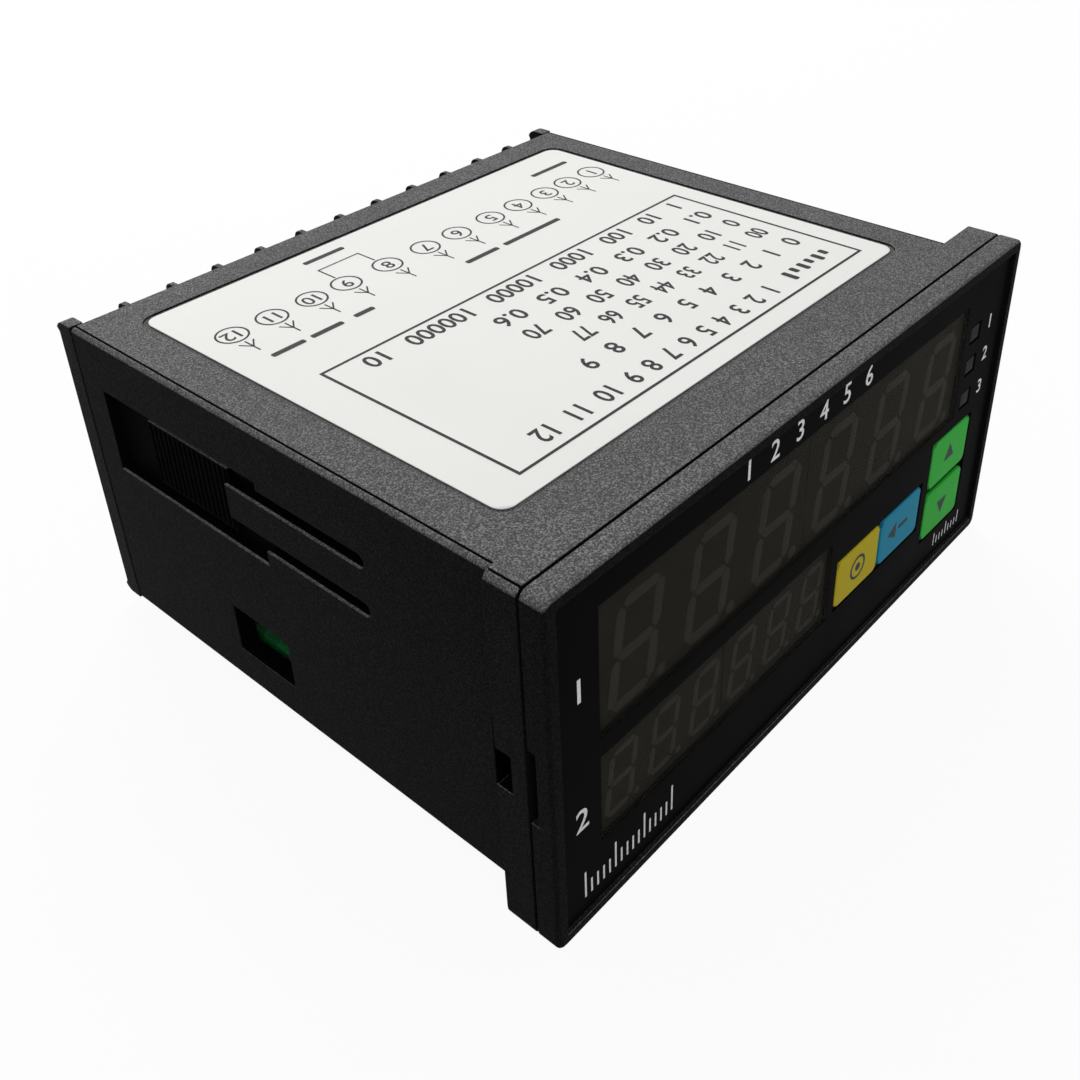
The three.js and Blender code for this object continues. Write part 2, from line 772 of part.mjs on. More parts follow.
function buildLug(x) {
  const plate = block(around(x, lugWidth), [lugRear - lugThickness, lugRear], lugZ);
  const hole = pegAlongY(x, screwZ, shankRadius + slipGap, grown([rearWallRear, lugRear], overrun), 12);
  const run = block(around(x, tailWidth), [tailY[0], lugRear], tailZ);
  const leg = block(around(x, tailWidth), tailY, [mainBoardTop + seatGap, tailZ[1]]);
  return joined([plate, run, leg]).subtract(hole);
}

function buildClampScrew(x) {
  const clampFront = lugRear + slipGap;
  const clampRear = clampFront + clampThickness;
  const headRear = clampRear + headHeight;
  const dome = headHeight * headDomeShare;
  const profile = [
    new THREE.Vector2(0, clampFront - shankLength),
    new THREE.Vector2(shankRadius, clampFront - shankLength),
    new THREE.Vector2(shankRadius, clampRear - clampThickness / 2),
    new THREE.Vector2(headRadius, clampRear - clampThickness / 2),
    new THREE.Vector2(headRadius, headRear - dome),
  ];
  for (const step of [1, 2, 3]) {
    const angle = (step / 3) * (Math.PI / 2);
    const radius = step === 3 ? 0 : headRadius * Math.cos(angle);
    profile.push(new THREE.Vector2(radius, headRear - dome + dome * Math.sin(angle)));
  }
  const turned = new THREE.LatheGeometry(profile, 14);
  turned.translate(x, 0, screwZ);
  const clamp = block(around(x, clampWidth), [clampFront, clampRear], around(screwZ, clampWidth));
  const driveY = [headRear - driveDepth, headRear + overrun];
  return without(solid(turned).add(clamp), [
    block(around(x, driveWidth), driveY, around(screwZ, driveLength)),
    block(around(x, driveLength), driveY, around(screwZ, driveWidth)),
  ]);
}

function buildMainBoard() {
  const board = block(
    [-mainBoardHalf, mainBoardHalf],
    [mainBoardFront, mainBoardRear],
    [mainBoardBottom, mainBoardTop],
  );
  const holes = bossPlaces().map(({ x, y }) =>
    pegAlongZ(x, y, bossPinRadius + slipGap, grown([mainBoardBottom, mainBoardTop], overrun), 12),
  );
  return without(board, holes);
}

function onMainBoard([across, along]) {
  return {
    x: THREE.MathUtils.lerp(-mainBoardHalf, mainBoardHalf, across),
    y: THREE.MathUtils.lerp(mainBoardFront, mainBoardRear, along),
    z: mainBoardTop + seatGap,
  };
}

function buildLinkHeader() {
  const base = mainBoardTop + seatGap;
  const front = displayBoardRear + seatGap;
  const top = base + headerHeight;
  const strip = block(around(0, headerLength), [front, front + headerWidth], [base, top]);
  const pinY = around(front + headerWidth / 2, pinWidth);
  const pins = [];
  for (let i = 0; i < headerPins; i++) {
    const x = ((i + 0.5) / headerPins - 0.5) * headerLength;
    pins.push(block(around(x, pinWidth), pinY, [top - headerHeight / 2, top + pinHeight]));
  }
  return joined([strip, ...pins]);
}

const transformer = onMainBoard(transformerShares);
function buildCore() {
  const { x, y, z } = transformer;
  const height = [z, z + coreHeight];
  const depth = around(y, coreDepth);
  const outer = block(around(x, coreWidth), depth, height);
  const windowWidth = (coreWidth - coreCentreLimb) / 2 - coreLimb;
  const cuts = sides.map((sign) => {
    const centre = x + (sign * (coreCentreLimb + windowWidth)) / 2;
    return block(around(centre, windowWidth), grown(depth, overrun), grown(height, -coreLimb));
  });
  return without(outer, cuts);
}

function buildBobbin() {
  const { x, y, z } = transformer;
  const hole = coreCentreLimb + 2 * slipGap;
  const coil = coreWidth - 2 * coreLimb - 2 * slipGap;
  const height = grown([z + coreLimb, z + coreHeight - coreLimb], -slipGap);
  const winding = block(around(x, coil), around(y, bobbinDepth), height);
  const tunnel = block(around(x, hole), around(y, coreDepth + 2 * slipGap), grown(height, overrun));
  const legs = sides.map((sign) =>
    block(
      around(x, coil),
      around(y + (sign * (bobbinDepth - bobbinWall)) / 2, bobbinWall),
      [z, height[0] + bobbinWall],
    ),
  );
  return joined([winding.subtract(tunnel), ...legs]);
}

function buildCapacitor(radius, height, shares) {
  const { x, y, z } = onMainBoard(shares);
  const groove = z + height * (1 - capacitorGrooveShare);
  const profile = [
    new THREE.Vector2(0, z),
    new THREE.Vector2(radius - capacitorGroove, z),
    new THREE.Vector2(radius, z + capacitorGroove),
    new THREE.Vector2(radius, groove - 2 * capacitorGroove),
    new THREE.Vector2(radius - capacitorGroove, groove - capacitorGroove),
    new THREE.Vector2(radius, groove),
    new THREE.Vector2(radius, z + height - capacitorGroove),
    new THREE.Vector2(radius - capacitorGroove, z + height),
    new THREE.Vector2(0, z + height),
  ];
  const turned = new THREE.LatheGeometry(profile, 24);
  turned.rotateX(Math.PI / 2);
  turned.translate(x, y, 0);
  return solid(turned);
}

function buildController() {
  const x = THREE.MathUtils.lerp(-displayBoardHalf, displayBoardHalf, chipShares[0]);
  const z = THREE.MathUtils.lerp(displayBoardBottom, displayBoardTop, chipShares[1]);
  const front = displayBoardRear + seatGap;
  const span = chipWidth + 2 * chipLeadSpan;
  return joined([
    block(around(x, chipWidth), [front, front + chipHeight], around(z, chipWidth)),
    block(around(x, span), [front, front + chipLeadThickness], around(z, chipWidth - chipLeadSpan)),
    block(around(x, chipWidth - chipLeadSpan), [front, front + chipLeadThickness], around(z, span)),
  ]);
}

function buildIsolator() {
  const { x, y, z } = onMainBoard(isolatorShares);
  const bottom = z + pinWidth;
  const height = [bottom, bottom + isolatorHeight];
  const pieces = [block(around(x, isolatorLength), around(y, isolatorWidth), height)];
  for (const sign of sides) {
    const legY = around(y + (sign * isolatorWidth) / 2, pinWidth);
    for (let i = 0; i < isolatorLegs; i++) {
      const legX = x + ((i + 0.5) / isolatorLegs - 0.5) * isolatorLength;
      pieces.push(block(around(legX, pinWidth), legY, [z, bottom + isolatorHeight / 2]));
    }
  }
  return joined(pieces);
}

place("body_shell", buildBodyShell(), casingPlastic);
place("top_cover", buildTopCover(), casingPlastic);
place("rear_cover", buildRearCover(), casingPlastic);
place("front_bezel", buildBezel(), casingPlastic);
place("front_film", buildFilm(), filmPrint);
place("rating_label", buildLabel(), labelPaper);
place("upper_window", buildPane(panes.upper), smokedPane);
place("lower_window", buildPane(panes.lower), smokedPane);
place("upper_digits_left", buildDigitModule(panes.upper, 0, 0), moduleBody);
place("upper_digits_right", buildDigitModule(panes.upper, 0.5, 0), moduleBody);
place("lower_digits_left", buildDigitModule(panes.lower, 0, lowerModuleSetback), moduleBody);
place("lower_digits_right", buildDigitModule(panes.lower, 0.5, lowerModuleSetback), moduleBody);
lamps.forEach((lamp, i) => place(`indicator_lamp_${i + 1}`, buildLamp(lamp), lampLens));
for (const [name, pad] of Object.entries(keyPads)) {
  place(`${name}_key`, buildKey(pad), keyColours[name]);
  place(`${name}_plunger`, buildPlunger(pad), blackMoulding);
  place(`${name}_switch`, buildSwitch(pad), blackMoulding);
}
place("display_board", buildDisplayBoard(), boardLaminate);
place("main_board", buildMainBoard(), boardLaminate);
place("link_header", buildLinkHeader(), blackMoulding);
place("transformer_core", buildCore(), ferrite);
place("transformer_bobbin", buildBobbin(), windingTape);
place(
  "capacitor_1",
  buildCapacitor(mainCapacitorRadius, mainCapacitorHeight, mainCapacitorShares),
  capacitorSleeve,
);
place(
  "capacitor_2",
  buildCapacitor(smallCapacitorRadius, smallCapacitorHeight, smallCapacitorShares),
  capacitorSleeve,
);
place("controller_chip", buildController(), blackMoulding);
place("input_isolator", buildIsolator(), blackMoulding);
bayPlaces.forEach((x, i) => {
  const number = String(i + 1).padStart(2, "0");
  place(`terminal_lug_${number}`, buildLug(x), tinnedBrass);
  place(`terminal_screw_${number}`, buildClampScrew(x), platedSteel);
});

export default model;
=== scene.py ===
# Dresses the panel length counter for its render. Everything is in metres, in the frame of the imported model.
import json
from math import cos, pi, radians, tan

import bpy
from mathutils import Matrix, Vector

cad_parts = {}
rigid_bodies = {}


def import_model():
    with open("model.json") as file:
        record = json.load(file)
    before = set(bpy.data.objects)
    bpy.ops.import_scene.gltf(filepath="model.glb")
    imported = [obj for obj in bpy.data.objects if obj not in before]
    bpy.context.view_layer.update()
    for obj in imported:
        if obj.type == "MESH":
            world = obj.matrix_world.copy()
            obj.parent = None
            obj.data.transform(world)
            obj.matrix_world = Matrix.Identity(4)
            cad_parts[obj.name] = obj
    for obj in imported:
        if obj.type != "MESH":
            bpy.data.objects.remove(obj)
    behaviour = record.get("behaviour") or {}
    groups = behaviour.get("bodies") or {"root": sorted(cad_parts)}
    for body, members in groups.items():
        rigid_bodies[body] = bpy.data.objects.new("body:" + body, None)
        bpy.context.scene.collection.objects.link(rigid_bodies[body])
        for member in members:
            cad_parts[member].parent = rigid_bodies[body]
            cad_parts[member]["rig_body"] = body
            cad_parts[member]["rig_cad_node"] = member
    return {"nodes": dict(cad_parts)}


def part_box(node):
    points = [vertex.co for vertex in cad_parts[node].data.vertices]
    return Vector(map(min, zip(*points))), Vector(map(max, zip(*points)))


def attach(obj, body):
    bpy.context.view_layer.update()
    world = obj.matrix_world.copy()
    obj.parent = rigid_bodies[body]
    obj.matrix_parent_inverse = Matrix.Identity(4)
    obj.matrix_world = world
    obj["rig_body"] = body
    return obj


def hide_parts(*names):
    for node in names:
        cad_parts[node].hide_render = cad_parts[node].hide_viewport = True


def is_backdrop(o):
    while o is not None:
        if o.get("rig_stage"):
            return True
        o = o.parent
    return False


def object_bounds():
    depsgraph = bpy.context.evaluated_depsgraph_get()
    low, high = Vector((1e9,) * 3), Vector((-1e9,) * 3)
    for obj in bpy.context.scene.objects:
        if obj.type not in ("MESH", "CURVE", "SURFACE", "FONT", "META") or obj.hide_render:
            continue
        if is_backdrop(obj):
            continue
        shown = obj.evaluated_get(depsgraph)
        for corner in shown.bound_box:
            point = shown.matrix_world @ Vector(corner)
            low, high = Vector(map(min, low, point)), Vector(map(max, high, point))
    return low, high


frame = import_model()
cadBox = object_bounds()
nodes = frame["nodes"]
mm = 0.001
print("frame loaded with", len(nodes), "nodes")


# Small helpers for the usual steps by hand, with angles in degrees
shaping = {
    "merge": 0.0001 * mm, "cadMerge": 0.06 * mm, "flatAngle": 1, "bevelAngle": 30, "sharpAngle": 60,
    "smoothAngle": 35, "roundSteps": 5, "facing": 0.9, "fineEdge": 0.03 * mm,
}


def deselectAll():
    if bpy.context.object and bpy.context.object.mode != "OBJECT":
        bpy.ops.object.mode_set(mode="OBJECT")
    bpy.ops.object.select_all(action="DESELECT")


def pick(*pieces):
    deselectAll()
    for piece in pieces:
        piece.select_set(True)
    bpy.context.view_layer.objects.active = pieces[0]


def applyPlace(piece):
    pick(piece)
    bpy.ops.object.transform_apply(location=True, rotation=True, scale=True)


def nameIt(piece, name):
    piece.name = name
    piece.data.name = name
    return piece


def editAll():
    bpy.ops.object.mode_set(mode="EDIT")
    bpy.ops.mesh.select_all(action="SELECT")


def leaveEdit():
    bpy.ops.object.mode_set(mode="OBJECT")


def addBlock(name, low, high):
    deselectAll()
    centre = [(a + b) / 2 for a, b in zip(low, high)]
    size = [b - a for a, b in zip(low, high)]
    bpy.ops.mesh.primitive_cube_add(size=1, location=centre, scale=size)
    block = nameIt(bpy.context.object, name)
    applyPlace(block)
    return block


def selectWhere(piece, test, kind="FACE"):
    # goes to edit mode with the faces or points selected that pass the test
    bpy.ops.object.mode_set(mode="EDIT")
    bpy.ops.mesh.select_mode(type=kind)
    bpy.ops.mesh.select_all(action="DESELECT")
    leaveEdit()
    for element in piece.data.polygons if kind == "FACE" else piece.data.vertices:
        element.select = test(element)
    bpy.ops.object.mode_set(mode="EDIT")


def facesOut(piece):
    pick(piece)
    editAll()
    bpy.ops.mesh.remove_doubles(threshold=shaping["merge"])
    bpy.ops.mesh.normals_make_consistent(inside=False)
    leaveEdit()


def bevelEdges(piece, width, steps=2):
    pick(piece)
    bpy.ops.object.shade_smooth()
    bevel = piece.modifiers.new("edges", "BEVEL")
    bevel.width = width
    bevel.segments = steps
    bevel.limit_method = "ANGLE"
    bevel.angle_limit = radians(shaping["bevelAngle"])
    bevel.use_clamp_overlap = False
    bpy.ops.object.modifier_apply(modifier=bevel.name)
    # slivers that the bevel folded over are turned back
    points = piece.data.vertices
    selectWhere(piece, lambda side: sum(side.normal.dot(points[i].normal) for i in side.vertices) < 0)
    bpy.ops.mesh.flip_normals()
    leaveEdit()
    weighted = piece.modifiers.new("flats", "WEIGHTED_NORMAL")
    weighted.mode = "FACE_AREA"
    weighted.weight = 100
    bpy.ops.object.modifier_apply(modifier=weighted.name)


def copyOf(piece, name, place, turn=0):
    # a copy with its own mesh, turned about Y and moved
    pick(piece)
    bpy.ops.object.duplicate()
    twin = nameIt(bpy.context.object, name)
    twin.rotation_euler = (0, turn, 0)
    twin.location = place
    applyPlace(twin)
    return twin


def joinAll(pieces, name):
    pick(*pieces)
    if len(pieces) > 1:
        bpy.ops.object.join()
    return nameIt(bpy.context.object, name)


def paint(piece, material):
    piece.data.materials.clear()
    piece.data.materials.append(material)


def paintWhere(piece, material, centreTest):
    piece.data.materials.append(material)
    for face in piece.data.polygons:
        if centreTest(face.center):
            face.material_index = len(piece.data.materials) - 1


def roundWhere(piece, edgeTest, radius):
    # rounds the sharp edges whose ends pass the test
    pick(piece)
    bpy.ops.object.mode_set(mode="EDIT")
    bpy.ops.mesh.select_mode(type="EDGE")
    bpy.ops.mesh.select_all(action="DESELECT")
    bpy.ops.mesh.edges_select_sharp(sharpness=radians(shaping["sharpAngle"]))
    leaveEdit()
    points = piece.data.vertices
    for edge in piece.data.edges:
        ends = [points[i].co for i in edge.vertices]
        edge.select = edge.select and edgeTest(*ends)
    bpy.ops.object.mode_set(mode="EDIT")
    bpy.ops.mesh.bevel(offset=radius, segments=shaping["roundSteps"], affect="EDGES", clamp_overlap=False)
    leaveEdit()


def dressed(nodeName, pieceName, body, material, edgeWidth, steps=2, rounded=None, radius=0):
    # a merged copy of the CAD node with rounded edges stands for it
    pick(nodes[nodeName])
    bpy.ops.object.duplicate()
    piece = nameIt(bpy.context.object, pieceName)
    piece.parent = None
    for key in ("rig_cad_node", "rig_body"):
        del piece[key]
    editAll()
    bpy.ops.mesh.remove_doubles(threshold=shaping["cadMerge"])
    flat = radians(shaping["flatAngle"])
    bpy.ops.mesh.beautify_fill(angle_limit=flat)
    bpy.ops.mesh.tris_convert_to_quads(face_threshold=flat, shape_threshold=pi)
    leaveEdit()
    if rounded:
        roundWhere(piece, rounded, radius)
    bevelEdges(piece, edgeWidth, steps)
    paint(piece, material)
    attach(piece, body)
    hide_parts(nodeName)
    return piece


def settle(piece, body, material, replaced=()):
    paint(piece, material)
    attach(piece, body)
    if replaced:
        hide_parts(*replaced)


# Materials: a wire stands for a node's output and adds its maths nodes

class Wire:
    def __init__(self, finish, socket):
        self.finish = finish
        self.socket = socket

    def maths(self, operation, first, second):
        return self.finish.node("Math", {"operation": operation}, {0: first, 1: second})

    def __add__(self, other):
        return self.maths("ADD", self, other)

    def __radd__(self, other):
        return self.maths("ADD", other, self)

    def __sub__(self, other):
        return self.maths("SUBTRACT", self, other)

    def __rsub__(self, other):
        return self.maths("SUBTRACT", other, self)

    def __mul__(self, other):
        return self.maths("MULTIPLY", self, other)

    def __rmul__(self, other):
        return self.maths("MULTIPLY", other, self)

    def atLeast(self, other):
        return self.maths("MAXIMUM", self, other)


class Finish:
    def __init__(self, name, owner=None):
        self.material = owner or bpy.data.materials.new(name)
        self.material.use_nodes = True
        self.tree = self.material.node_tree
        self.shader = self.tree.nodes.get("Principled BSDF")
        self.place = self.node("TexCoord", {}, {}, "Object")

    def node(self, kind, settings, sockets, output=0):
        made = self.tree.nodes.new("ShaderNode" + kind)
        for key, value in settings.items():
            setattr(made, key, value)
        for key, value in sockets.items():
            if isinstance(value, Wire):
                self.tree.links.new(value.socket, made.inputs[key])
            else:
                made.inputs[key].default_value = value
        return Wire(self, made.outputs[output])

    def noise(self, scale, detail=2, roughness=0.5, vector=None):
        sockets = {"Vector": vector or self.place, "Scale": scale, "Detail": detail, "Roughness": roughness}
        return self.node("TexNoise", {}, sockets)

    def cells(self, scale, output="Distance", feature="F1"):
        return self.node("TexVoronoi", {"feature": feature}, {"Vector": self.place, "Scale": scale}, output)

    def stretched(self, scale):
        return self.node("Mapping", {}, {"Vector": self.place, "Scale": scale})

    def part(self, axis, vector=None):
        return self.node("SeparateXYZ", {}, {0: vector or self.place}, axis)

    def spread(self, value, low, high, toLow=0.0, toHigh=1.0):
        return self.node("MapRange", {}, {0: value, 1: low, 2: high, 3: toLow, 4: toHigh})

    def blend(self, mask, first, second):
        colours = {0: mask, 6: first, 7: second}
        return self.node("Mix", {"data_type": "RGBA"}, colours, 2)

    def bump(self, height, distance):
        return self.node("Bump", {}, {"Height": height, "Distance": distance, "Strength": 1.0})

    def seenAs(self, lit, plain, share, output):
        # the picture, mirrors and glass see the plain shade, the light comes from the lit one
        camera = self.node("LightPath", {}, {}, "Is Camera Ray")
        glossy = self.node("LightPath", {}, {}, "Is Glossy Ray")
        through = self.node("LightPath", {}, {}, "Is Transmission Ray")
        seen = camera.atLeast(glossy).atLeast(through) * share
        mixed = self.node("MixShader", {}, {0: seen, 1: lit, 2: plain})
        self.tree.links.new(mixed.socket, self.tree.nodes[output].inputs["Surface"])

    def surface(self, **sockets):
        for key, value in sockets.items():
            socket = self.shader.inputs[socketNames[key]]
            if isinstance(value, Wire):
                self.tree.links.new(value.socket, socket)
            else:
                socket.default_value = value
        return self.material


socketNames = {
    "colour": "Base Color",
    "roughness": "Roughness",
    "metallic": "Metallic",
    "normal": "Normal",
    "alpha": "Alpha",
    "specular": "Specular IOR Level",
}


def grey(level):
    return (level, level, level, 1)


def shaded(tone, share):
    return tuple(min(1, part * share) for part in tone[:3]) + (1,)


# A pattern's scale, detail and roughness stand together, ends are what is spread from low to high
noiseEnds = (0.3, 0.7)
grainLook = {
    "coarse": (2300, 3, 0.6), "fine": (5200, 2, 0.6), "pebble": 2900, "shares": (0.5, 0.3, 0.4),
    "cloud": (70, 3), "cloudShare": (0.85, 1.1), "roughness": (0.42, 0.6),
    "paintedGlintEnds": (0.45, 0.72), "toneGlintGain": 3.4, "dustAndLightGlintGain": 4.1,
    "upward": (0.25, 0.85), "highlightRise": (0.2, 0.5), "highlightFall": (0.97, 0.85),
    "dustAndLightHeights": (36 * mm, 42 * mm), "lowDustAndLight": 0.1, "rimHighlightShare": 0.9,
    "sillDepths": (0.4 * mm, 0.28 * mm), "sillReaches": (0.6 * mm, 0.3 * mm), "sillHeights": (16 * mm, 18 * mm),
    "toothDepths": (1.2 * mm, 1.1 * mm), "toothHeights": (35.8 * mm, 36 * mm),
}


def sparkCasing(name, tone, dust, grain, specular=0.01, lip=None):
    # black moulded plastic with a spark-eroded grain, greyed where it faces up near the top by dust and painted
    # top light, with painted highlights along rounded edges and painted glints in the grain
    look = grainLook
    finish = Finish(name)
    coarse = finish.noise(*look["coarse"])
    fine = finish.noise(*look["fine"])
    pebble = finish.cells(look["pebble"])
    coarseShare, fineShare, pebbleShare = look["shares"]
    height = coarse * coarseShare + fine * fineShare + pebble * pebbleShare
    cloud = finish.spread(finish.noise(*look["cloud"]), *noiseEnds, *look["cloudShare"])
    facing = finish.part(2, finish.node("TexCoord", {}, {}, "Normal"))
    upward = finish.spread(facing, *look["upward"])
    # the dust and painted top light fade in between 36 and 42 mm high; lower up-facing faces keep a tenth of it
    high = finish.spread(finish.part(2), *look["dustAndLightHeights"], look["lowDustAndLight"], 1.0)
    # painted highlight on rounded edges: faces turned part way between side and up are greyed
    rimHighlight = finish.spread(facing, *look["highlightRise"]) * finish.spread(facing, *look["highlightFall"])
    dustAndHighlight = (upward * high).atLeast(rimHighlight * look["rimHighlightShare"])
    if lip:
        # in an opening only the outermost strip of a sill and the tops of the teeth are greyed, as painted
        # highlights
        across = finish.part(0) * finish.part(0)
        sillHighlight = finish.spread(across, *[(lip - depth) ** 2 for depth in look["sillDepths"]])
        sillHighlight = sillHighlight * finish.spread(across, *[(lip + reach) ** 2 for reach in look["sillReaches"]])
        sillHighlight = sillHighlight * finish.spread(finish.part(2), *look["sillHeights"])
        toothHighlight = finish.spread(across, *[(lip - depth) ** 2 for depth in look["toothDepths"]])
        toothHighlight = toothHighlight * finish.spread(finish.part(2), *look["toothHeights"])
        dustAndHighlight = upward * sillHighlight.atLeast(toothHighlight)
    # painted glints: the brightest grains of the fine noise are lighter, most of all where the dust and painted
    # top light lie
    paintedGlint = finish.spread(fine, *look["paintedGlintEnds"])
    ground = finish.blend(dustAndHighlight, grey(tone), grey(dust))
    glintColour = finish.blend(dustAndHighlight, grey(tone * look["toneGlintGain"]), grey(dust * look["dustAndLightGlintGain"]))
    colour = finish.blend(paintedGlint * cloud, ground, glintColour)
    roughness = finish.spread(coarse, *noiseEnds, *look["roughness"])
    normal = finish.bump(height, grain)
    return finish.surface(colour=colour, roughness=roughness, normal=normal, specular=specular)


satinLook = {
    "mottle": (260, 3), "fine": (6000, 2), "depth": 6e-6, "shade": 0.9, "glossier": 0.05, "rougher": 0.07,
}


def satinPlastic(name, tone, roughness=0.42, specular=0.08):
    look = satinLook
    finish = Finish(name)
    mottle = finish.noise(*look["mottle"])
    fine = finish.noise(*look["fine"])
    colour = finish.blend(mottle, shaded(tone, look["shade"]), tone)
    rough = finish.spread(mottle, *noiseEnds, roughness - look["glossier"], roughness + look["rougher"])
    normal = finish.bump(fine, look["depth"])
    return finish.surface(colour=colour, roughness=rough, normal=normal, specular=specular)


metalLook = {
    "lines": (1, 3, 0.6), "stain": (420, 4, 0.6), "stainEnds": (0.35, 0.75), "depth": 8e-6, "shade": 0.62,
    "glossier": 0.08, "rougher": 0.12,
}


def brushedMetal(name, tone, stretch, roughness):
    look = metalLook
    finish = Finish(name)
    lines = finish.noise(*look["lines"], finish.stretched(stretch))
    stain = finish.noise(*look["stain"])
    colour = finish.blend(finish.spread(stain, *look["stainEnds"]), tone, shaded(tone, look["shade"]))
    rough = finish.spread(lines, *noiseEnds, roughness - look["glossier"], roughness + look["rougher"])
    normal = finish.bump(lines, look["depth"])
    return finish.surface(colour=colour, roughness=rough, metallic=1.0, normal=normal)


# each casing's dust tone is real dust and also painted top light
topCasing = sparkCasing("topCasingPlastic", tone=0.006, dust=0.072, grain=0.12 * mm)
sideCasing = sparkCasing("sideCasingPlastic", tone=0.0049, dust=0.075, grain=0.07 * mm, specular=0.005)
bezelCasing = sparkCasing("bezelPlastic", tone=0.004, dust=0.075, grain=0.1 * mm, specular=0.005)
rearCasing = sparkCasing("rearCoverPlastic", tone=0.0065, dust=0.07, grain=0.07 * mm, specular=0.008)


filmLook = {
    "haze": (90, 3), "tones": (grey(0.003), grey(0.0045)), "roughness": (0.3, 0.42), "specular": 0.002,
    "specks": 650, "speckEnds": (0.0, 0.045), "speckShare": 0.5, "speckTone": grey(0.22),
    "sparse": (240, 1), "sparseEnds": (0.66, 0.7), "fine": (4200, 2), "depth": 5e-6,
}


def printedFilm():
    look = filmLook
    finish = Finish("printedFilm")
    haze = finish.noise(*look["haze"])
    dust = finish.spread(finish.cells(look["specks"]), *look["speckEnds"], 1.0, 0.0)
    sparse = finish.spread(finish.noise(*look["sparse"]), *look["sparseEnds"])
    specks = dust * sparse
    colour = finish.blend(specks * look["speckShare"], finish.blend(haze, *look["tones"]), look["speckTone"])
    rough = finish.spread(haze, *noiseEnds, *look["roughness"])
    normal = finish.bump(finish.noise(*look["fine"]), look["depth"])
    return finish.surface(colour=colour, roughness=rough, normal=normal, specular=look["specular"])


windowLook = {
    "haze": (140, 3), "tones": ((0.013, 0.012, 0.009, 1), (0.017, 0.016, 0.012, 1)),
    "roughness": (0.16, 0.26), "alpha": 0.35, "specular": 0.004,
}


def smokedWindow():
    look = windowLook
    finish = Finish("smokedWindow")
    haze = finish.noise(*look["haze"])
    colour = finish.blend(haze, *look["tones"])
    rough = finish.spread(haze, *noiseEnds, *look["roughness"])
    return finish.surface(colour=colour, roughness=rough, alpha=look["alpha"], specular=look["specular"])


digitLook = {"depth": 2e-6, "specular": 0.05}


def digitPlastic(name, mottle, roughness, first, second):
    finish = Finish(name)
    mottle = finish.noise(*mottle)
    colour = finish.blend(mottle, first, second)
    normal = finish.bump(mottle, digitLook["depth"])
    return finish.surface(colour=colour, roughness=roughness, normal=normal, specular=digitLook["specular"])


vinylLook = {
    "cloud": (45, 3), "tones": ((0.80, 0.80, 0.77, 1), (0.85, 0.85, 0.83, 1)),
    "fibre": (3400, 3), "depth": 4e-6, "roughness": (0.42, 0.56), "specular": 0.1,
}


def labelVinyl():
    look = vinylLook
    finish = Finish("labelVinyl")
    cloud = finish.noise(*look["cloud"])
    fibre = finish.noise(*look["fibre"])
    colour = finish.blend(cloud, *look["tones"])
    rough = finish.spread(fibre, *noiseEnds, *look["roughness"])
    normal = finish.bump(fibre, look["depth"])
    return finish.surface(colour=colour, roughness=rough, normal=normal, specular=look["specular"])


inkLook = {
    "coverage": (2600, 3), "ends": (0.35, 0.65), "shade": 1.25, "depth": 3e-6, "roughness": 0.5,
    "specular": 0.05,
}


def ink(name, tone):
    look = inkLook
    finish = Finish(name)
    coverage = finish.noise(*look["coverage"])
    colour = finish.blend(finish.spread(coverage, *look["ends"]), tone, shaded(tone, look["shade"]))
    normal = finish.bump(coverage, look["depth"])
    return finish.surface(colour=colour, roughness=look["roughness"], normal=normal, specular=look["specular"])


boardLook = {
    "tones": ((0.010, 0.125, 0.030, 1), (0.016, 0.17, 0.045, 1)), "roughness": 0.34, "depth": 2e-5,
    "trackEnds": (0.0, 0.09), "trackShare": 0.7, "trackTone": (0.03, 0.27, 0.08, 1),
    "padScale": 1.9, "padEnds": (0.0, 0.2), "padMetal": 0.8, "padTone": (0.42, 0.42, 0.38, 1),
}


def boardMask(name, spacing):
    # green mask over tracks, with pads
    look = boardLook
    finish = Finish(name)
    cells = finish.cells(spacing, "Color")
    shade = finish.node("SeparateColor", {}, {0: cells}, 0)
    edges = finish.cells(spacing, "Distance", feature="DISTANCE_TO_EDGE")
    tracks = finish.spread(edges, *look["trackEnds"], 1.0, 0.0)
    pads = finish.spread(finish.cells(spacing * look["padScale"]), *look["padEnds"], 1.0, 0.0)
    ground = finish.blend(shade, *look["tones"])
    lines = finish.blend(tracks * look["trackShare"], ground, look["trackTone"])
    colour = finish.blend(pads, lines, look["padTone"])
    normal = finish.bump(tracks + pads, look["depth"])
    metal = pads * look["padMetal"]
    return finish.surface(colour=colour, roughness=look["roughness"], metallic=metal, normal=normal)


filmFinish = printedFilm()
windowFinish = smokedWindow()
moduleFinish = digitPlastic("moduleFace", (500, 3), 0.5, (0.044, 0.041, 0.031, 1), (0.050, 0.047, 0.036, 1))
segmentFinish = digitPlastic("segmentLens", (900, 2), 0.4, (0.115, 0.104, 0.080, 1), (0.130, 0.118, 0.092, 1))
labelFinish = labelVinyl()
whiteInk = ink("whiteInk", (0.62, 0.63, 0.63, 1))
darkInk = ink("darkInk", (0.035, 0.035, 0.037, 1))
keyInk = ink("keyInk", (0.02, 0.03, 0.03, 1))
keyGloss = {"roughness": 0.42, "specular": 0.02}
yellowKey = satinPlastic("yellowKey", (0.46, 0.37, 0.012, 1), **keyGloss)
blueKey = satinPlastic("blueKey", (0.010, 0.215, 0.34, 1), **keyGloss)
greenKey = satinPlastic("greenKey", (0.028, 0.385, 0.04, 1), **keyGloss)
blackMoulding = satinPlastic("blackMoulding", (0.016, 0.016, 0.017, 1), 0.45)
lampLens = satinPlastic("lampLens", (0.006, 0.0055, 0.005, 1), 0.3, 0.012)
mainBoardMask = boardMask("mainBoardMask", 420)
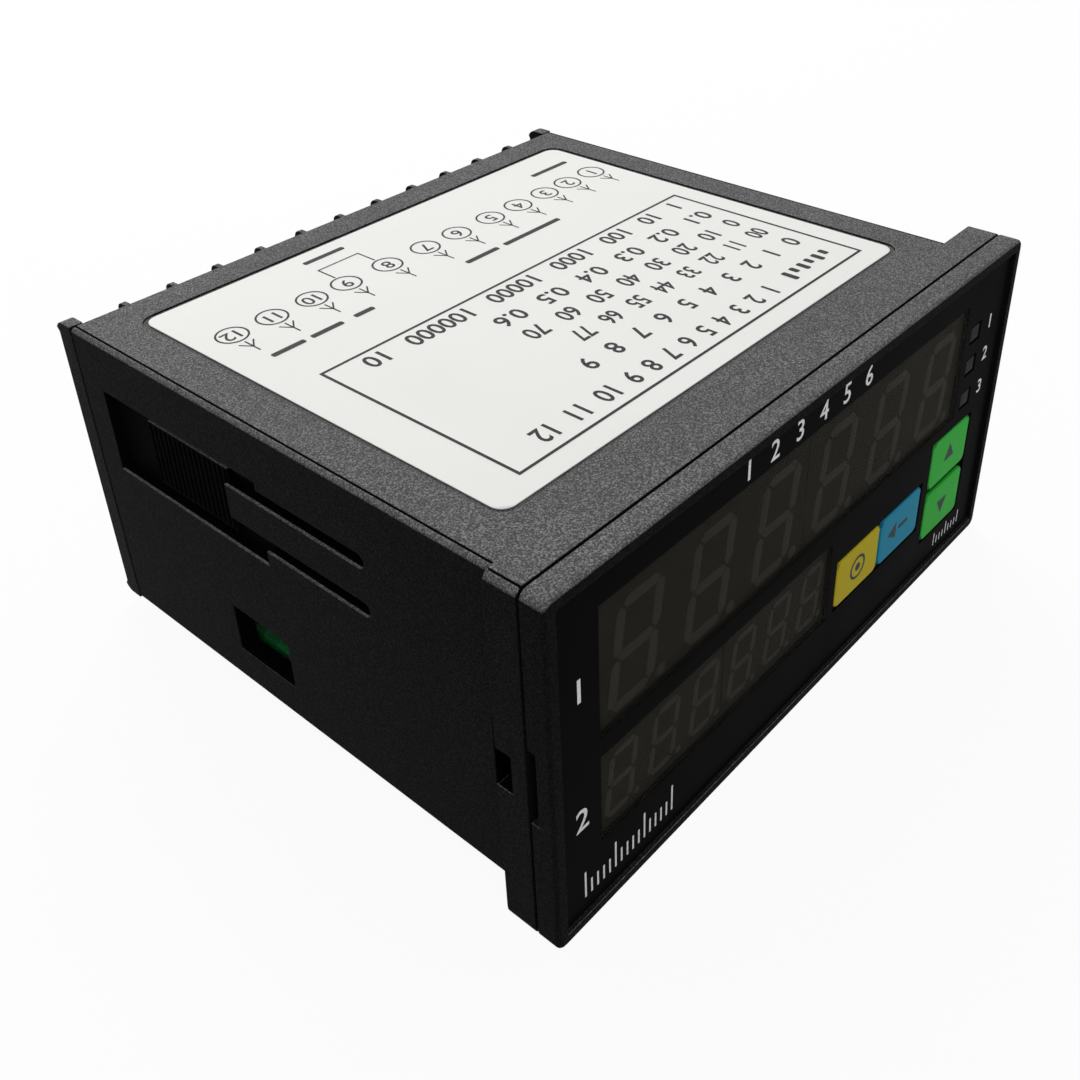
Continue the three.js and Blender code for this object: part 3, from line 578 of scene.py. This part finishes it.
displayBoardMask = boardMask("displayBoardMask", 520)
ferriteFinish = satinPlastic("ferrite", (0.05, 0.05, 0.053, 1), 0.6)
tapeFinish = satinPlastic("windingTape", (0.55, 0.38, 0.04, 1), 0.3)
sleeveFinish = satinPlastic("capacitorSleeve", (0.02, 0.035, 0.09, 1), 0.3)
zincPlate = brushedMetal("zincPlate", (0.52, 0.53, 0.54, 1), (1500, 9000, 1500), 0.34)
tinnedBrass = brushedMetal("tinnedBrass", (0.60, 0.55, 0.40, 1), (700, 700, 6000), 0.36)
print("materials made")


# Casing
casing = {
    "edge": 0.1 * mm, "bezelEdge": 0.1 * mm, "coverEdge": 0.07 * mm, "rearEdge": 0.06 * mm,
    "earInner": 43.4 * mm, "earRound": 0.7 * mm, "earSlack": (0.1 * mm, 0.05 * mm),
    "sideFace": 45.3 * mm, "openings": (5 * mm, 41 * mm),
    "notchReach": 47.85 * mm, "notchY": (-38.1 * mm, -35.95 * mm), "notchZ": (20.5 * mm, 25.9 * mm),
}
shell = dressed("body_shell", "bodyShell", "counter", sideCasing, casing["edge"])


def within(value, ends):
    return ends[0] < value < ends[1]


def inOpening(centre):
    # the walls of the openings in the two sides, and of the notches in the flange
    across = abs(centre.x)
    inWall = across < casing["sideFace"] - casing["edge"] and within(centre.z, casing["openings"])
    inFlange = within(across, (casing["sideFace"], casing["notchReach"]))
    inNotch = inFlange and within(centre.y, casing["notchY"]) and within(centre.z, casing["notchZ"])
    return inWall or inNotch


# painted shade: the walls and floors of the side openings and of the flange notches get a much darker copy of
# the side plastic
paintedShadeCasing = sparkCasing(
    "paintedShadeCasingPlastic", tone=0.0015, dust=0.085, grain=0.07 * mm, specular=0.002, lip=casing["sideFace"]
)
paintWhere(shell, paintedShadeCasing, inOpening)
dressed("top_cover", "topCover", "counter", topCasing, casing["coverEdge"])
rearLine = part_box("rear_cover")[1].y


def atEarTip(first, last):
    inward, forward = casing["earInner"] - casing["earSlack"][0], rearLine - casing["earSlack"][1]
    return all(abs(end.x) > inward and end.y > forward for end in (first, last))


dressed("rear_cover", "rearCover", "counter", rearCasing, casing["rearEdge"],
        rounded=atEarTip, radius=casing["earRound"])
dressed("front_bezel", "frontBezel", "counter", bezelCasing, casing["bezelEdge"])
print("casing dressed")


# Film, windows, keys and lamps
face = {
    "keyEdge": 0.2 * mm, "lampEdge": 0.1 * mm, "lamps": 3,
    "paneLap": (0.85 * mm, 0.55 * mm), "paneLeft": 0.1 * mm, "paneSunk": 0.01 * mm,
    "moduleLap": (0.03 * mm, 0.85 * mm), "moduleSunk": 0.62 * mm, "moduleEdge": 0.04 * mm,
}
dressed("front_film", "frontFilm", "counter", filmFinish, shaping["fineEdge"], 1)
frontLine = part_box("front_film")[0].y


def steppedBlock(name, low, high, lap, front):
    # a block whose front face, a lap smaller all round, is drawn forward
    block = addBlock(name, low, high)
    selectWhere(block, lambda side: side.normal.y < -shaping["facing"])
    bpy.ops.mesh.inset(thickness=lap[0])
    between = high.z - low.z
    bpy.ops.transform.resize(value=(1, 1, (between - 2 * lap[1]) / (between - 2 * lap[0])))
    bpy.ops.mesh.extrude_region_move(TRANSFORM_OT_translate={"value": (0, front - low.y, 0)})
    leaveEdit()
    return block


for row in ("upper", "lower"):
    # the pane stands flush in the film's opening, the modules close behind it
    low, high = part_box(row + "_window")
    paneRear = Vector((high.x, low.y + face["paneLeft"], high.z))
    paneFront = frontLine + face["paneSunk"]
    pane = steppedBlock(row + "Window", low, paneRear, face["paneLap"], paneFront)
    bevelEdges(pane, shaping["fineEdge"], 1)
    settle(pane, "counter", windowFinish, [row + "_window"])
    for side in ("left", "right"):
        low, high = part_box(f"{row}_digits_{side}")
        moduleFront = frontLine + face["moduleSunk"]
        module = steppedBlock(f"{row}Module_{side}", low, high, face["moduleLap"], moduleFront)
        bevelEdges(module, face["moduleEdge"], 2)
        settle(module, "counter", moduleFinish, [f"{row}_digits_{side}"])
keyFinishes = {
    "enter": (yellowKey, "key_yellow"),
    "shift": (blueKey, "key_blue"),
    "up": (greenKey, "key_green"),
    "down": (greenKey, "key_green"),
}
for keyName, (keyFinish, keySlot) in keyFinishes.items():
    body = keyName + "_key"
    dressed(body, keyName + "KeyCap", body, keyFinish, face["keyEdge"], 3)
    paint(nodes[keyName + "_plunger"], blackMoulding)
    paint(nodes[keyName + "_switch"], blackMoulding)
for number in range(1, face["lamps"] + 1):
    lampNode, lensName = f"indicator_lamp_{number}", f"indicatorLens_{number}"
    dressed(lampNode, lensName, "counter", lampLens, face["lampEdge"])
print("face dressed")


# Digit segments, in millimetres: a digit is made of seven bars and a dot, and each module gets three digits
digits = {
    "upper": {
        "height": 14.2, "width": 7.6, "bar": 1.45, "dot": 0.8, "first": -33.8, "pitch": 12.55, "bottom": 26.0,
    },
    "lower": {
        "height": 9.2, "width": 4.8, "bar": 0.9, "dot": 0.5, "first": -36.2, "pitch": 7.37, "bottom": 11.5,
    },
    "slant": 8, "gap": 0.16, "sunk": 0.2, "proud": 0.05, "edge": 0.05,
    "dotShift": 1.3, "dotDrop": 0.1, "dotCorners": 20, "perModule": 3,
}


def segmentBar(length, width, depth):
    # upright bar with pointed ends, its front at y = 0
    deselectAll()
    bpy.ops.mesh.primitive_circle_add(vertices=6, radius=width, fill_type="NGON", rotation=(pi / 2, 0, 0))
    bar = nameIt(bpy.context.object, "bar")
    applyPlace(bar)
    for end in (-1, 1):
        selectWhere(bar, lambda point: point.co.z * end > 0, "VERT")
        bpy.ops.transform.translate(value=(0, 0, end * (length / 2 - width)))
    bpy.ops.mesh.select_all(action="SELECT")
    bpy.ops.transform.resize(value=(1 / (2 * cos(pi / 6)), 1, 1), center_override=(0, 0, 0))
    bpy.ops.mesh.extrude_region_move(TRANSFORM_OT_translate={"value": (0, depth, 0)})
    leaveEdit()
    facesOut(bar)
    bevelEdges(bar, digits["edge"] * mm, 1)
    return bar


def oneDigit(sizes, depth):
    slant = radians(digits["slant"])
    height, width, bar = sizes["height"] * mm, sizes["width"] * mm, sizes["bar"] * mm
    gap = digits["gap"] * mm
    reach = (width - bar) / 2
    half = (height - bar) / 2
    upright = segmentBar(half / cos(slant) - 2 * gap, bar, depth)
    level = segmentBar(2 * reach - 2 * gap, bar, depth)
    parts = []
    for z in (-half, 0, half):
        parts.append(copyOf(level, "level", (z * tan(slant), 0, z), pi / 2))
    for z in (-half / 2, half / 2):
        for x in (-reach, reach):
            parts.append(copyOf(upright, "upright", (x + z * tan(slant), 0, z), slant))
    deselectAll()
    dotX = reach + digits["dotShift"] * bar - half * tan(slant)
    bpy.ops.mesh.primitive_cylinder_add(
        vertices=digits["dotCorners"], radius=sizes["dot"] * mm, depth=depth,
        location=(dotX, depth / 2, -half - digits["dotDrop"] * bar), rotation=(pi / 2, 0, 0),
    )
    dot = bpy.context.object
    applyPlace(dot)
    bevelEdges(dot, digits["edge"] * mm, 1)
    parts.append(dot)
    for spare in (upright, level):
        bpy.data.objects.remove(spare)
    return joinAll(parts, "digit")


depth = (digits["sunk"] + digits["proud"]) * mm
segmentFront = frontLine + face["moduleSunk"] - digits["proud"] * mm
for row in ("upper", "lower"):
    sizes = digits[row]
    digit = oneDigit(sizes, depth)
    middleZ = (sizes["bottom"] + sizes["height"] / 2) * mm
    for half, side in enumerate(("left", "right")):
        copies = []
        for i in range(digits["perModule"]):
            x = (sizes["first"] + (digits["perModule"] * half + i) * sizes["pitch"]) * mm
            copies.append(copyOf(digit, "digitCopy", (x, segmentFront, middleZ)))
        settle(joinAll(copies, f"{row}Segments_{side}"), "counter", segmentFinish)
    bpy.data.objects.remove(digit)
print("digit segments placed")


# Prints are thin meshes just above the surface that carries them
printing = {
    "depth": 0.008 * mm, "glyphDepth": 0.004, "glyphMerge": 0.0005, "glyphFlat": 0.2, "curveSteps": 3,
    "bold": 0.03, "barCorner": 0.2, "ringCorners": 32,
}
facings = {"front": (pi / 2, 0, 0), "top": (0, 0, pi)}


def laidOn(piece, facing, place, name):
    piece.rotation_euler = facings[facing]
    piece.location = place
    applyPlace(piece)
    facesOut(piece)
    return nameIt(piece, name)


def turnedPrint(piece, turn, stretch):
    piece.rotation_euler = (0, 0, turn)
    applyPlace(piece)
    piece.scale = (stretch[0], stretch[1], 1)
    applyPlace(piece)


def thickened():
    # gives the selected faces the thickness of a print
    bpy.ops.mesh.extrude_region_move(TRANSFORM_OT_translate={"value": (0, 0, printing["depth"])})
    leaveEdit()


def textPrint(words, size, place, facing, spacing=1.0, bold=printing["bold"], across="CENTER"):
    # size and bold are in millimetres, the text is made at that scale and shrunk as a mesh
    deselectAll()
    bpy.ops.object.text_add()
    glyphs = bpy.context.object
    glyphs.data.body = words
    glyphs.data.size = size
    glyphs.data.space_character = spacing
    glyphs.data.align_x = across
    glyphs.data.align_y = "CENTER"
    glyphs.data.extrude = printing["glyphDepth"]
    glyphs.data.resolution_u = printing["curveSteps"]
    bpy.ops.object.convert(target="MESH")
    glyphs = bpy.context.object
    editAll()
    bpy.ops.mesh.remove_doubles(threshold=printing["glyphMerge"])
    bpy.ops.mesh.normals_make_consistent(inside=False)
    bpy.ops.transform.shrink_fatten(value=bold, use_even_offset=True)
    bpy.ops.transform.resize(value=(1, 1, printing["glyphFlat"]), center_override=(0, 0, 0))
    leaveEdit()
    glyphs.scale = (mm, mm, mm)
    return laidOn(glyphs, facing, place, "textPrint")


def flatShape(corners, radius, place, facing, turn=0):
    # a filled polygon with a little thickness
    deselectAll()
    bpy.ops.mesh.primitive_circle_add(vertices=corners, radius=radius, fill_type="NGON")
    shape = bpy.context.object
    editAll()
    thickened()
    turnedPrint(shape, turn, (1, 1))
    return laidOn(shape, facing, place, "shapePrint")


def barPrint(width, height, place, facing, turn=0):
    # a square with its corners cut, drawn out to a bar
    deselectAll()
    bpy.ops.mesh.primitive_plane_add(size=1)
    bar = bpy.context.object
    bar.scale = (width, height, 1)
    applyPlace(bar)
    editAll()
    bpy.ops.mesh.bevel(offset=min(width, height) * printing["barCorner"], segments=1, affect="VERTICES")
    bpy.ops.mesh.select_all(action="SELECT")
    thickened()
    turnedPrint(bar, turn, (1, 1))
    return laidOn(bar, facing, place, "barPrint")


def ringPrint(radius, line, place, facing, corners=printing["ringCorners"], stretch=(1, 1), turn=0):
    # a polygon is inset, its middle taken out, and the ring gets its thickness
    deselectAll()
    bpy.ops.mesh.primitive_circle_add(vertices=corners, radius=radius, fill_type="NGON")
    ring = bpy.context.object
    turnedPrint(ring, turn, stretch)
    bpy.ops.object.mode_set(mode="EDIT")
    bpy.ops.mesh.select_mode(type="FACE")
    bpy.ops.mesh.select_all(action="SELECT")
    bpy.ops.mesh.inset(thickness=line)
    bpy.ops.mesh.delete(type="FACE")
    bpy.ops.mesh.select_all(action="SELECT")
    thickened()
    return laidOn(ring, facing, place, "ringPrint")


# White marks on the film, in millimetres: words with their place, and two rows of ticks
filmMarks = {
    "heading": "1 2 3 4 5 6", "headingSize": 3.7, "headingPlace": (-3.6, 44.4), "headingSpacing": 1.55,
    "rowMarks": (("1", -43.2, 33.9), ("2", -43.2, 16.1)), "rowSize": 4.4,
    "lampMarks": (("1", 42.4, 37.5), ("2", 42.4, 32.5), ("3", 42.4, 27.2)), "lampSize": 3.0,
    "leftTicks": {"start": -43.0, "end": -28.0, "foot": 3.9, "count": 16, "every": 5,
                  "tall": 4.0, "short": 2.2, "line": 0.28},
    "rightTicks": {"start": 35.0, "end": 42.4, "foot": 3.4, "count": 9, "every": 4,
                   "tall": 2.2, "short": 1.3, "line": 0.22},
    "lift": 0.012,
}
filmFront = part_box("front_film")[0].y - filmMarks["lift"] * mm


def onFilm(x, z):
    return (x * mm, filmFront, z * mm)


def tickRow(row):
    ticks = []
    step = (row["end"] - row["start"]) / (row["count"] - 1)
    for i in range(row["count"]):
        tall = row["short"] if i % row["every"] else row["tall"]
        place = onFilm(row["start"] + i * step, row["foot"] + tall / 2)
        ticks.append(barPrint(row["line"] * mm, tall * mm, place, "front"))
    return ticks


place = onFilm(*filmMarks["headingPlace"])
marks = [textPrint(filmMarks["heading"], filmMarks["headingSize"], place, "front", filmMarks["headingSpacing"])]
for kind in ("row", "lamp"):
    for words, x, z in filmMarks[kind + "Marks"]:
        marks.append(textPrint(words, filmMarks[kind + "Size"], onFilm(x, z), "front"))
marks += tickRow(filmMarks["leftTicks"]) + tickRow(filmMarks["rightTicks"])
settle(joinAll(marks, "filmMarks"), "counter", whiteInk)
print("film marks printed")


# Symbols on the keys: a ring with a dot, an arrow and two triangles, with shares of their size
symbols = {
    "size": 1.5 * mm, "line": 0.42 * mm, "lift": 0.01 * mm, "ring": 1.25, "dot": 0.42, "dotCorners": 20,
    "headShift": -1.2, "shaftShift": 0.6, "shaftLength": 1.7, "shaftWidth": 0.42, "triangle": 1.1,
}
for keyName in keyFinishes:
    low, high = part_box(keyName + "_key")
    x, z = (low.x + high.x) / 2, (low.z + high.z) / 2
    y = low.y - symbols["lift"]
    size = symbols["size"]
    if keyName == "enter":
        parts = [ringPrint(symbols["ring"] * size, symbols["line"], (x, y, z), "front")]
        parts.append(flatShape(symbols["dotCorners"], symbols["dot"] * size, (x, y, z), "front"))
    elif keyName == "shift":
        headPlace, shaftPlace = [(x + symbols[end + "Shift"] * size, y, z) for end in ("head", "shaft")]
        long, wide = symbols["shaftLength"] * size, symbols["shaftWidth"] * size
        parts = [flatShape(3, size, headPlace, "front", pi / 2), barPrint(long, wide, shaftPlace, "front")]
    else:
        parts = [flatShape(3, symbols["triangle"] * size, (x, y, z), "front", 0 if keyName == "up" else pi)]
    settle(joinAll(parts, keyName + "KeySymbol"), keyName + "_key", keyInk)
print("key symbols printed")


# Label with its dark print, which reads from the rear, in millimetres from the middle and the front
dressed("rating_label", "topLabel", "counter", labelFinish, shaping["fineEdge"], 1)
labelMarks = {
    "circles": (-33.4, -27.3, -20.9, -15.1, -7.8, -0.75, 5.4, 12.3, 18.25, 24.2, 29.5, 35.1),
    "circleY": 65.4, "circleRadius": 2.2, "circleLine": 0.28, "circleCorners": 28,
    "numberSize": 3.1, "numberSpacing": 0.9,
    "branches": ((90, 0, 3.2), (55, 0.55, 1.9), (125, -0.55, 1.9)), "branchY": 61.2, "branchLine": 0.22,
    "frameLow": (-32.7, 17.2), "frameHigh": (35.8, 49.4), "frameLine": 0.42,
    "lines": (
        (20.6, 19.0, -26.1, "1  2  3  4  5  6  7  8  9  10  11  12"),
        (26.6, 33.2, -11.8, "0   1   2   3   4   5   6   7   8   9"),
        (31.9, 33.2, -7.3, "00   11   22   33   44   55   66   77"),
        (36.7, 33.2, -10.7, "0   10   20   30   40   50   60   70"),
        (41.6, 33.2, -10.7, "0.1   0.2   0.3   0.4   0.5   0.6"),
        (46.9, 33.2, -27.0, "1   10   100   1000   10000   100000   10"),
    ),
    "lineSize": 4.0, "lineBold": 0.06,
    "blockEnds": (22.2, 33.0), "blockY": 20.6, "blockBars": (2.6, 1.5, 2.1, 1.5, 2.1, 1.5),
    "bars": (
        (-31, 57.2, 5), (-25, 57.2, 5), (-19, 57.2, 3.2), (2.4, 57.2, 6.2), (12.5, 57.2, 11.5),
        (-11.5, 74.5, 7.0), (32, 71.5, 8.0),
    ),
    "barLine": 0.9,
    "bracket": ((-11.5, 71.4, 7.2, 0), (-15.0, 69.6, 3.6, 90), (-8.0, 69.6, 3.6, 90)), "bracketLine": 0.25,
    "lift": 0.012,
}
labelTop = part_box("rating_label")[1].z + labelMarks["lift"] * mm
labelOrigin = cadBox[0].y


def onLabel(x, y):
    return (x * mm, labelOrigin + y * mm, labelTop)


marks = []
for i, x in enumerate(labelMarks["circles"]):
    place = onLabel(x, labelMarks["circleY"])
    marks.append(ringPrint(labelMarks["circleRadius"] * mm, labelMarks["circleLine"] * mm, place, "top",
                           labelMarks["circleCorners"]))
    number = str(len(labelMarks["circles"]) - i)
    marks.append(textPrint(number, labelMarks["numberSize"], place, "top", labelMarks["numberSpacing"]))
    for turn, shift, length in labelMarks["branches"]:
        place = onLabel(x + shift, labelMarks["branchY"] + abs(shift))
        marks.append(barPrint(length * mm, labelMarks["branchLine"] * mm, place, "top", radians(turn)))
low, high = labelMarks["frameLow"], labelMarks["frameHigh"]
reach = ((high[0] - low[0]) * mm, (high[1] - low[1]) * mm)
middle = onLabel((low[0] + high[0]) / 2, (low[1] + high[1]) / 2)
marks.append(ringPrint(cos(pi / 4), labelMarks["frameLine"] * mm, middle, "top", 4, reach, pi / 4))
for y, start, end, words in labelMarks["lines"]:
    place = onLabel(start, y)
    line = textPrint(words, labelMarks["lineSize"], place, "top", 1.0, labelMarks["lineBold"], "LEFT")
    length = max(v.co.x for v in line.data.vertices) - min(v.co.x for v in line.data.vertices)
    stretch = (start - end) * mm / length
    pick(line)
    editAll()
    bpy.ops.transform.resize(value=(stretch, 1, 1), center_override=place)
    leaveEdit()
    marks.append(line)
blockLow, blockHigh = labelMarks["blockEnds"]
heights = labelMarks["blockBars"]
for i, tall in enumerate(heights):
    place = onLabel(blockLow + (i + 0.5) * (blockHigh - blockLow) / len(heights),
                    labelMarks["blockY"] + (max(heights) - tall) / 2)
    marks.append(barPrint(labelMarks["barLine"] * mm, tall * mm, place, "top"))
for x, y, length in labelMarks["bars"]:
    marks.append(barPrint(length * mm, labelMarks["barLine"] * mm, onLabel(x, y), "top"))
for x, y, length, turn in labelMarks["bracket"]:
    marks.append(barPrint(length * mm, labelMarks["bracketLine"] * mm, onLabel(x, y), "top", radians(turn)))
settle(joinAll(marks, "labelMarks"), "counter", darkInk)
print("label printed")


# Terminal screws: one is modelled with a cross drive, a clamp plate and a ridged shank, and copied into each
# bay
screw = {
    "headRadius": 2.3 * mm, "headHeight": 1.8 * mm, "headRound": 0.75 * mm, "headCorners": 40, "headSteps": 5,
    "driveWidth": 0.62 * mm, "driveLength": 3.1 * mm, "driveDepth": 1.05 * mm, "driveTaper": 0.55,
    "plateThickness": 0.7 * mm, "plateGap": 0.02 * mm, "plateEdge": 0.12 * mm,
    "shankRadius": 1.4 * mm, "shankCorners": 20, "pitch": 0.5 * mm, "threadCore": 0.84,
    "lugEdge": 0.08 * mm, "count": 12,
}
low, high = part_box("terminal_screw_01")
screwX, screwZ = (low.x + high.x) / 2, (low.z + high.z) / 2
headRear = high.y
plateRear = headRear - screw["headHeight"]
plateFront = plateRear - screw["plateThickness"]


def roundBar(name, corners, radius, front, rear):
    deselectAll()
    bpy.ops.mesh.primitive_cylinder_add(
        vertices=corners, radius=radius, depth=rear - front,
        location=(screwX, (front + rear) / 2, screwZ), rotation=(pi / 2, 0, 0),
    )
    bar = nameIt(bpy.context.object, name)
    applyPlace(bar)
    return bar


head = roundBar("screwHead", screw["headCorners"], screw["headRadius"], plateRear, headRear)
selectWhere(head, lambda side: side.normal.y > shaping["facing"])
bpy.ops.mesh.bevel(offset=screw["headRound"], segments=screw["headSteps"])
leaveEdit()
for turn in (0, pi / 2):
    deselectAll()
    driveSize = (screw["driveLength"], 2 * screw["driveDepth"], screw["driveWidth"])
    bpy.ops.mesh.primitive_cube_add(
        size=1, location=(screwX, headRear, screwZ), rotation=(0, turn, 0), scale=driveSize
    )
    cutter = bpy.context.object
    selectWhere(cutter, lambda side: side.normal.y < -shaping["facing"])
    bpy.ops.transform.resize(value=(screw["driveTaper"], 1, 1), orient_type="LOCAL")
    leaveEdit()
    applyPlace(cutter)
    pick(head)
    cut = head.modifiers.new("drive", "BOOLEAN")
    cut.operation = "DIFFERENCE"
    cut.object = cutter
    cut.solver = "EXACT"
    bpy.ops.object.modifier_apply(modifier=cut.name)
    bpy.data.objects.remove(cutter)
pick(head)
bpy.ops.object.shade_smooth_by_angle(angle=radians(shaping["smoothAngle"]))
plate = addBlock("clampPlate", (low.x, plateFront, low.z), (high.x, plateRear - screw["plateGap"], high.z))
bevelEdges(plate, screw["plateEdge"])
shank = roundBar("shank", screw["shankCorners"], screw["shankRadius"], plateFront - screw["pitch"], plateFront)
ridges = int((plateFront - low.y) / screw["pitch"]) - 1
selectWhere(shank, lambda side: side.normal.y < -shaping["facing"])
for i in range(ridges):
    for narrow in (screw["threadCore"], 1 / screw["threadCore"]):
        bpy.ops.mesh.extrude_region_move(TRANSFORM_OT_translate={"value": (0, -screw["pitch"] / 2, 0)})
        bpy.ops.transform.resize(value=(narrow, 1, narrow))
leaveEdit()
facesOut(shank)
bpy.ops.object.shade_smooth_by_angle(angle=radians(shaping["smoothAngle"]))
pattern = joinAll([head, plate, shank], "screwPattern")
for number in range(1, screw["count"] + 1):
    screwNode, lugNode = f"terminal_screw_{number:02d}", f"terminal_lug_{number:02d}"
    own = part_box(screwNode)
    offset = ((own[0].x + own[1].x) / 2 - screwX, 0, 0)
    twin = copyOf(pattern, f"clampScrew_{number:02d}", offset)
    settle(twin, screwNode, zincPlate, [screwNode])
    dressed(lugNode, f"bentLug_{number:02d}", "counter", tinnedBrass, screw["lugEdge"], 1)
bpy.data.objects.remove(pattern)
print("terminals dressed")


# What is inside
inside = {
    "main_board": mainBoardMask, "display_board": displayBoardMask, "link_header": blackMoulding,
    "controller_chip": blackMoulding, "input_isolator": blackMoulding, "transformer_core": ferriteFinish,
    "transformer_bobbin": tapeFinish, "capacitor_1": sleeveFinish, "capacitor_2": sleeveFinish,
}
for nodeName, material in inside.items():
    paint(nodes[nodeName], material)
print("inside painted")


# Floor, lights and camera
studio = {
    "floorTone": 0.86, "floorMottle": 0.01, "floorNoise": (6, 2), "floorRoughness": 0.8, "floorSpecular": 0.1,
    "floorSize": 6.0, "floorWhite": 0.93, "floorDrop": 0.05 * mm, "skyLevel": 0.45, "aim": (0, 0, 0.03),
    "lamps": {
        "backLamp": {"place": (0.5, 0.6, 0.75), "size": 0.7, "power": 5.3},
        "sideLamp": {"place": (-0.4, -0.5, 0.8), "size": 0.5, "power": 2.0},
        "rearLamp": {"place": (0.15, 0.8, 0.14), "size": 0.5, "power": 3.6},
    },
}


def paleFloor():
    finish = Finish("paleFloor")
    mottle = finish.noise(*studio["floorNoise"])
    tone, change = studio["floorTone"], studio["floorMottle"]
    colour = finish.blend(mottle, grey(tone - change), grey(tone + change))
    finish.surface(colour=colour, roughness=studio["floorRoughness"], specular=studio["floorSpecular"])
    lit = Wire(finish, finish.shader.outputs[0])
    white = finish.node("Emission", {}, {"Color": grey(1), "Strength": 1.0})
    finish.seenAs(lit, white, studio["floorWhite"], "Material Output")
    return finish.material


deselectAll()
bpy.ops.mesh.primitive_grid_add(
    x_subdivisions=4, y_subdivisions=4, size=studio["floorSize"], location=(0, 0, -studio["floorDrop"])
)
floor = nameIt(bpy.context.object, "floor")
applyPlace(floor)
paint(floor, paleFloor())
floor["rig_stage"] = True

world = bpy.data.worlds.new("studio")
bpy.context.scene.world = world
sky = Finish("studio", world)
glow = sky.node("Background", {}, {"Color": grey(1), "Strength": studio["skyLevel"]})
white = sky.node("Background", {}, {"Color": grey(1), "Strength": 1.0})
sky.seenAs(glow, white, 1.0, "World Output")


def addLamp(name, place, size, power):
    deselectAll()
    bpy.ops.object.light_add(type="AREA", location=place)
    lamp = bpy.context.object
    lamp.name = name
    lamp.data.shape = "DISK"
    lamp.data.size = size
    lamp.data.energy = power
    lamp.rotation_euler = (Vector(studio["aim"]) - Vector(place)).to_track_quat("-Z", "Y").to_euler()


for lampName, lampValues in studio["lamps"].items():
    addLamp(lampName, **lampValues)

photoView = {
    "place": (-0.10614, -0.09971, 0.11900),
    "right": (0.6578, -0.7528, -0.0243),
    "up": (0.4058, 0.3270, 0.8535),
    "back": (-0.6345, -0.5713, 0.5206),
    "lens": 41.45,
    "sensor": 36,
    "shift": (-0.0293, -0.1393),
    "clip": (0.005, 20),
}
deselectAll()
bpy.ops.object.camera_add(location=photoView["place"])
camera = bpy.context.object
camera.rotation_mode = "QUATERNION"
axes = Matrix((photoView["right"], photoView["up"], photoView["back"])).transposed()
camera.rotation_quaternion = axes.to_quaternion()
camera.data.lens = photoView["lens"]
camera.data.sensor_width = photoView["sensor"]
camera.data.shift_x, camera.data.shift_y = photoView["shift"]
camera.data.clip_start, camera.data.clip_end = photoView["clip"]
bpy.context.scene.camera = camera
bpy.context.scene.view_settings.view_transform = "Standard"
print("studio set")

deselectAll()
sizes = {"cad": [list(corner) for corner in cadBox], "visual": [list(corner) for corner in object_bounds()]}
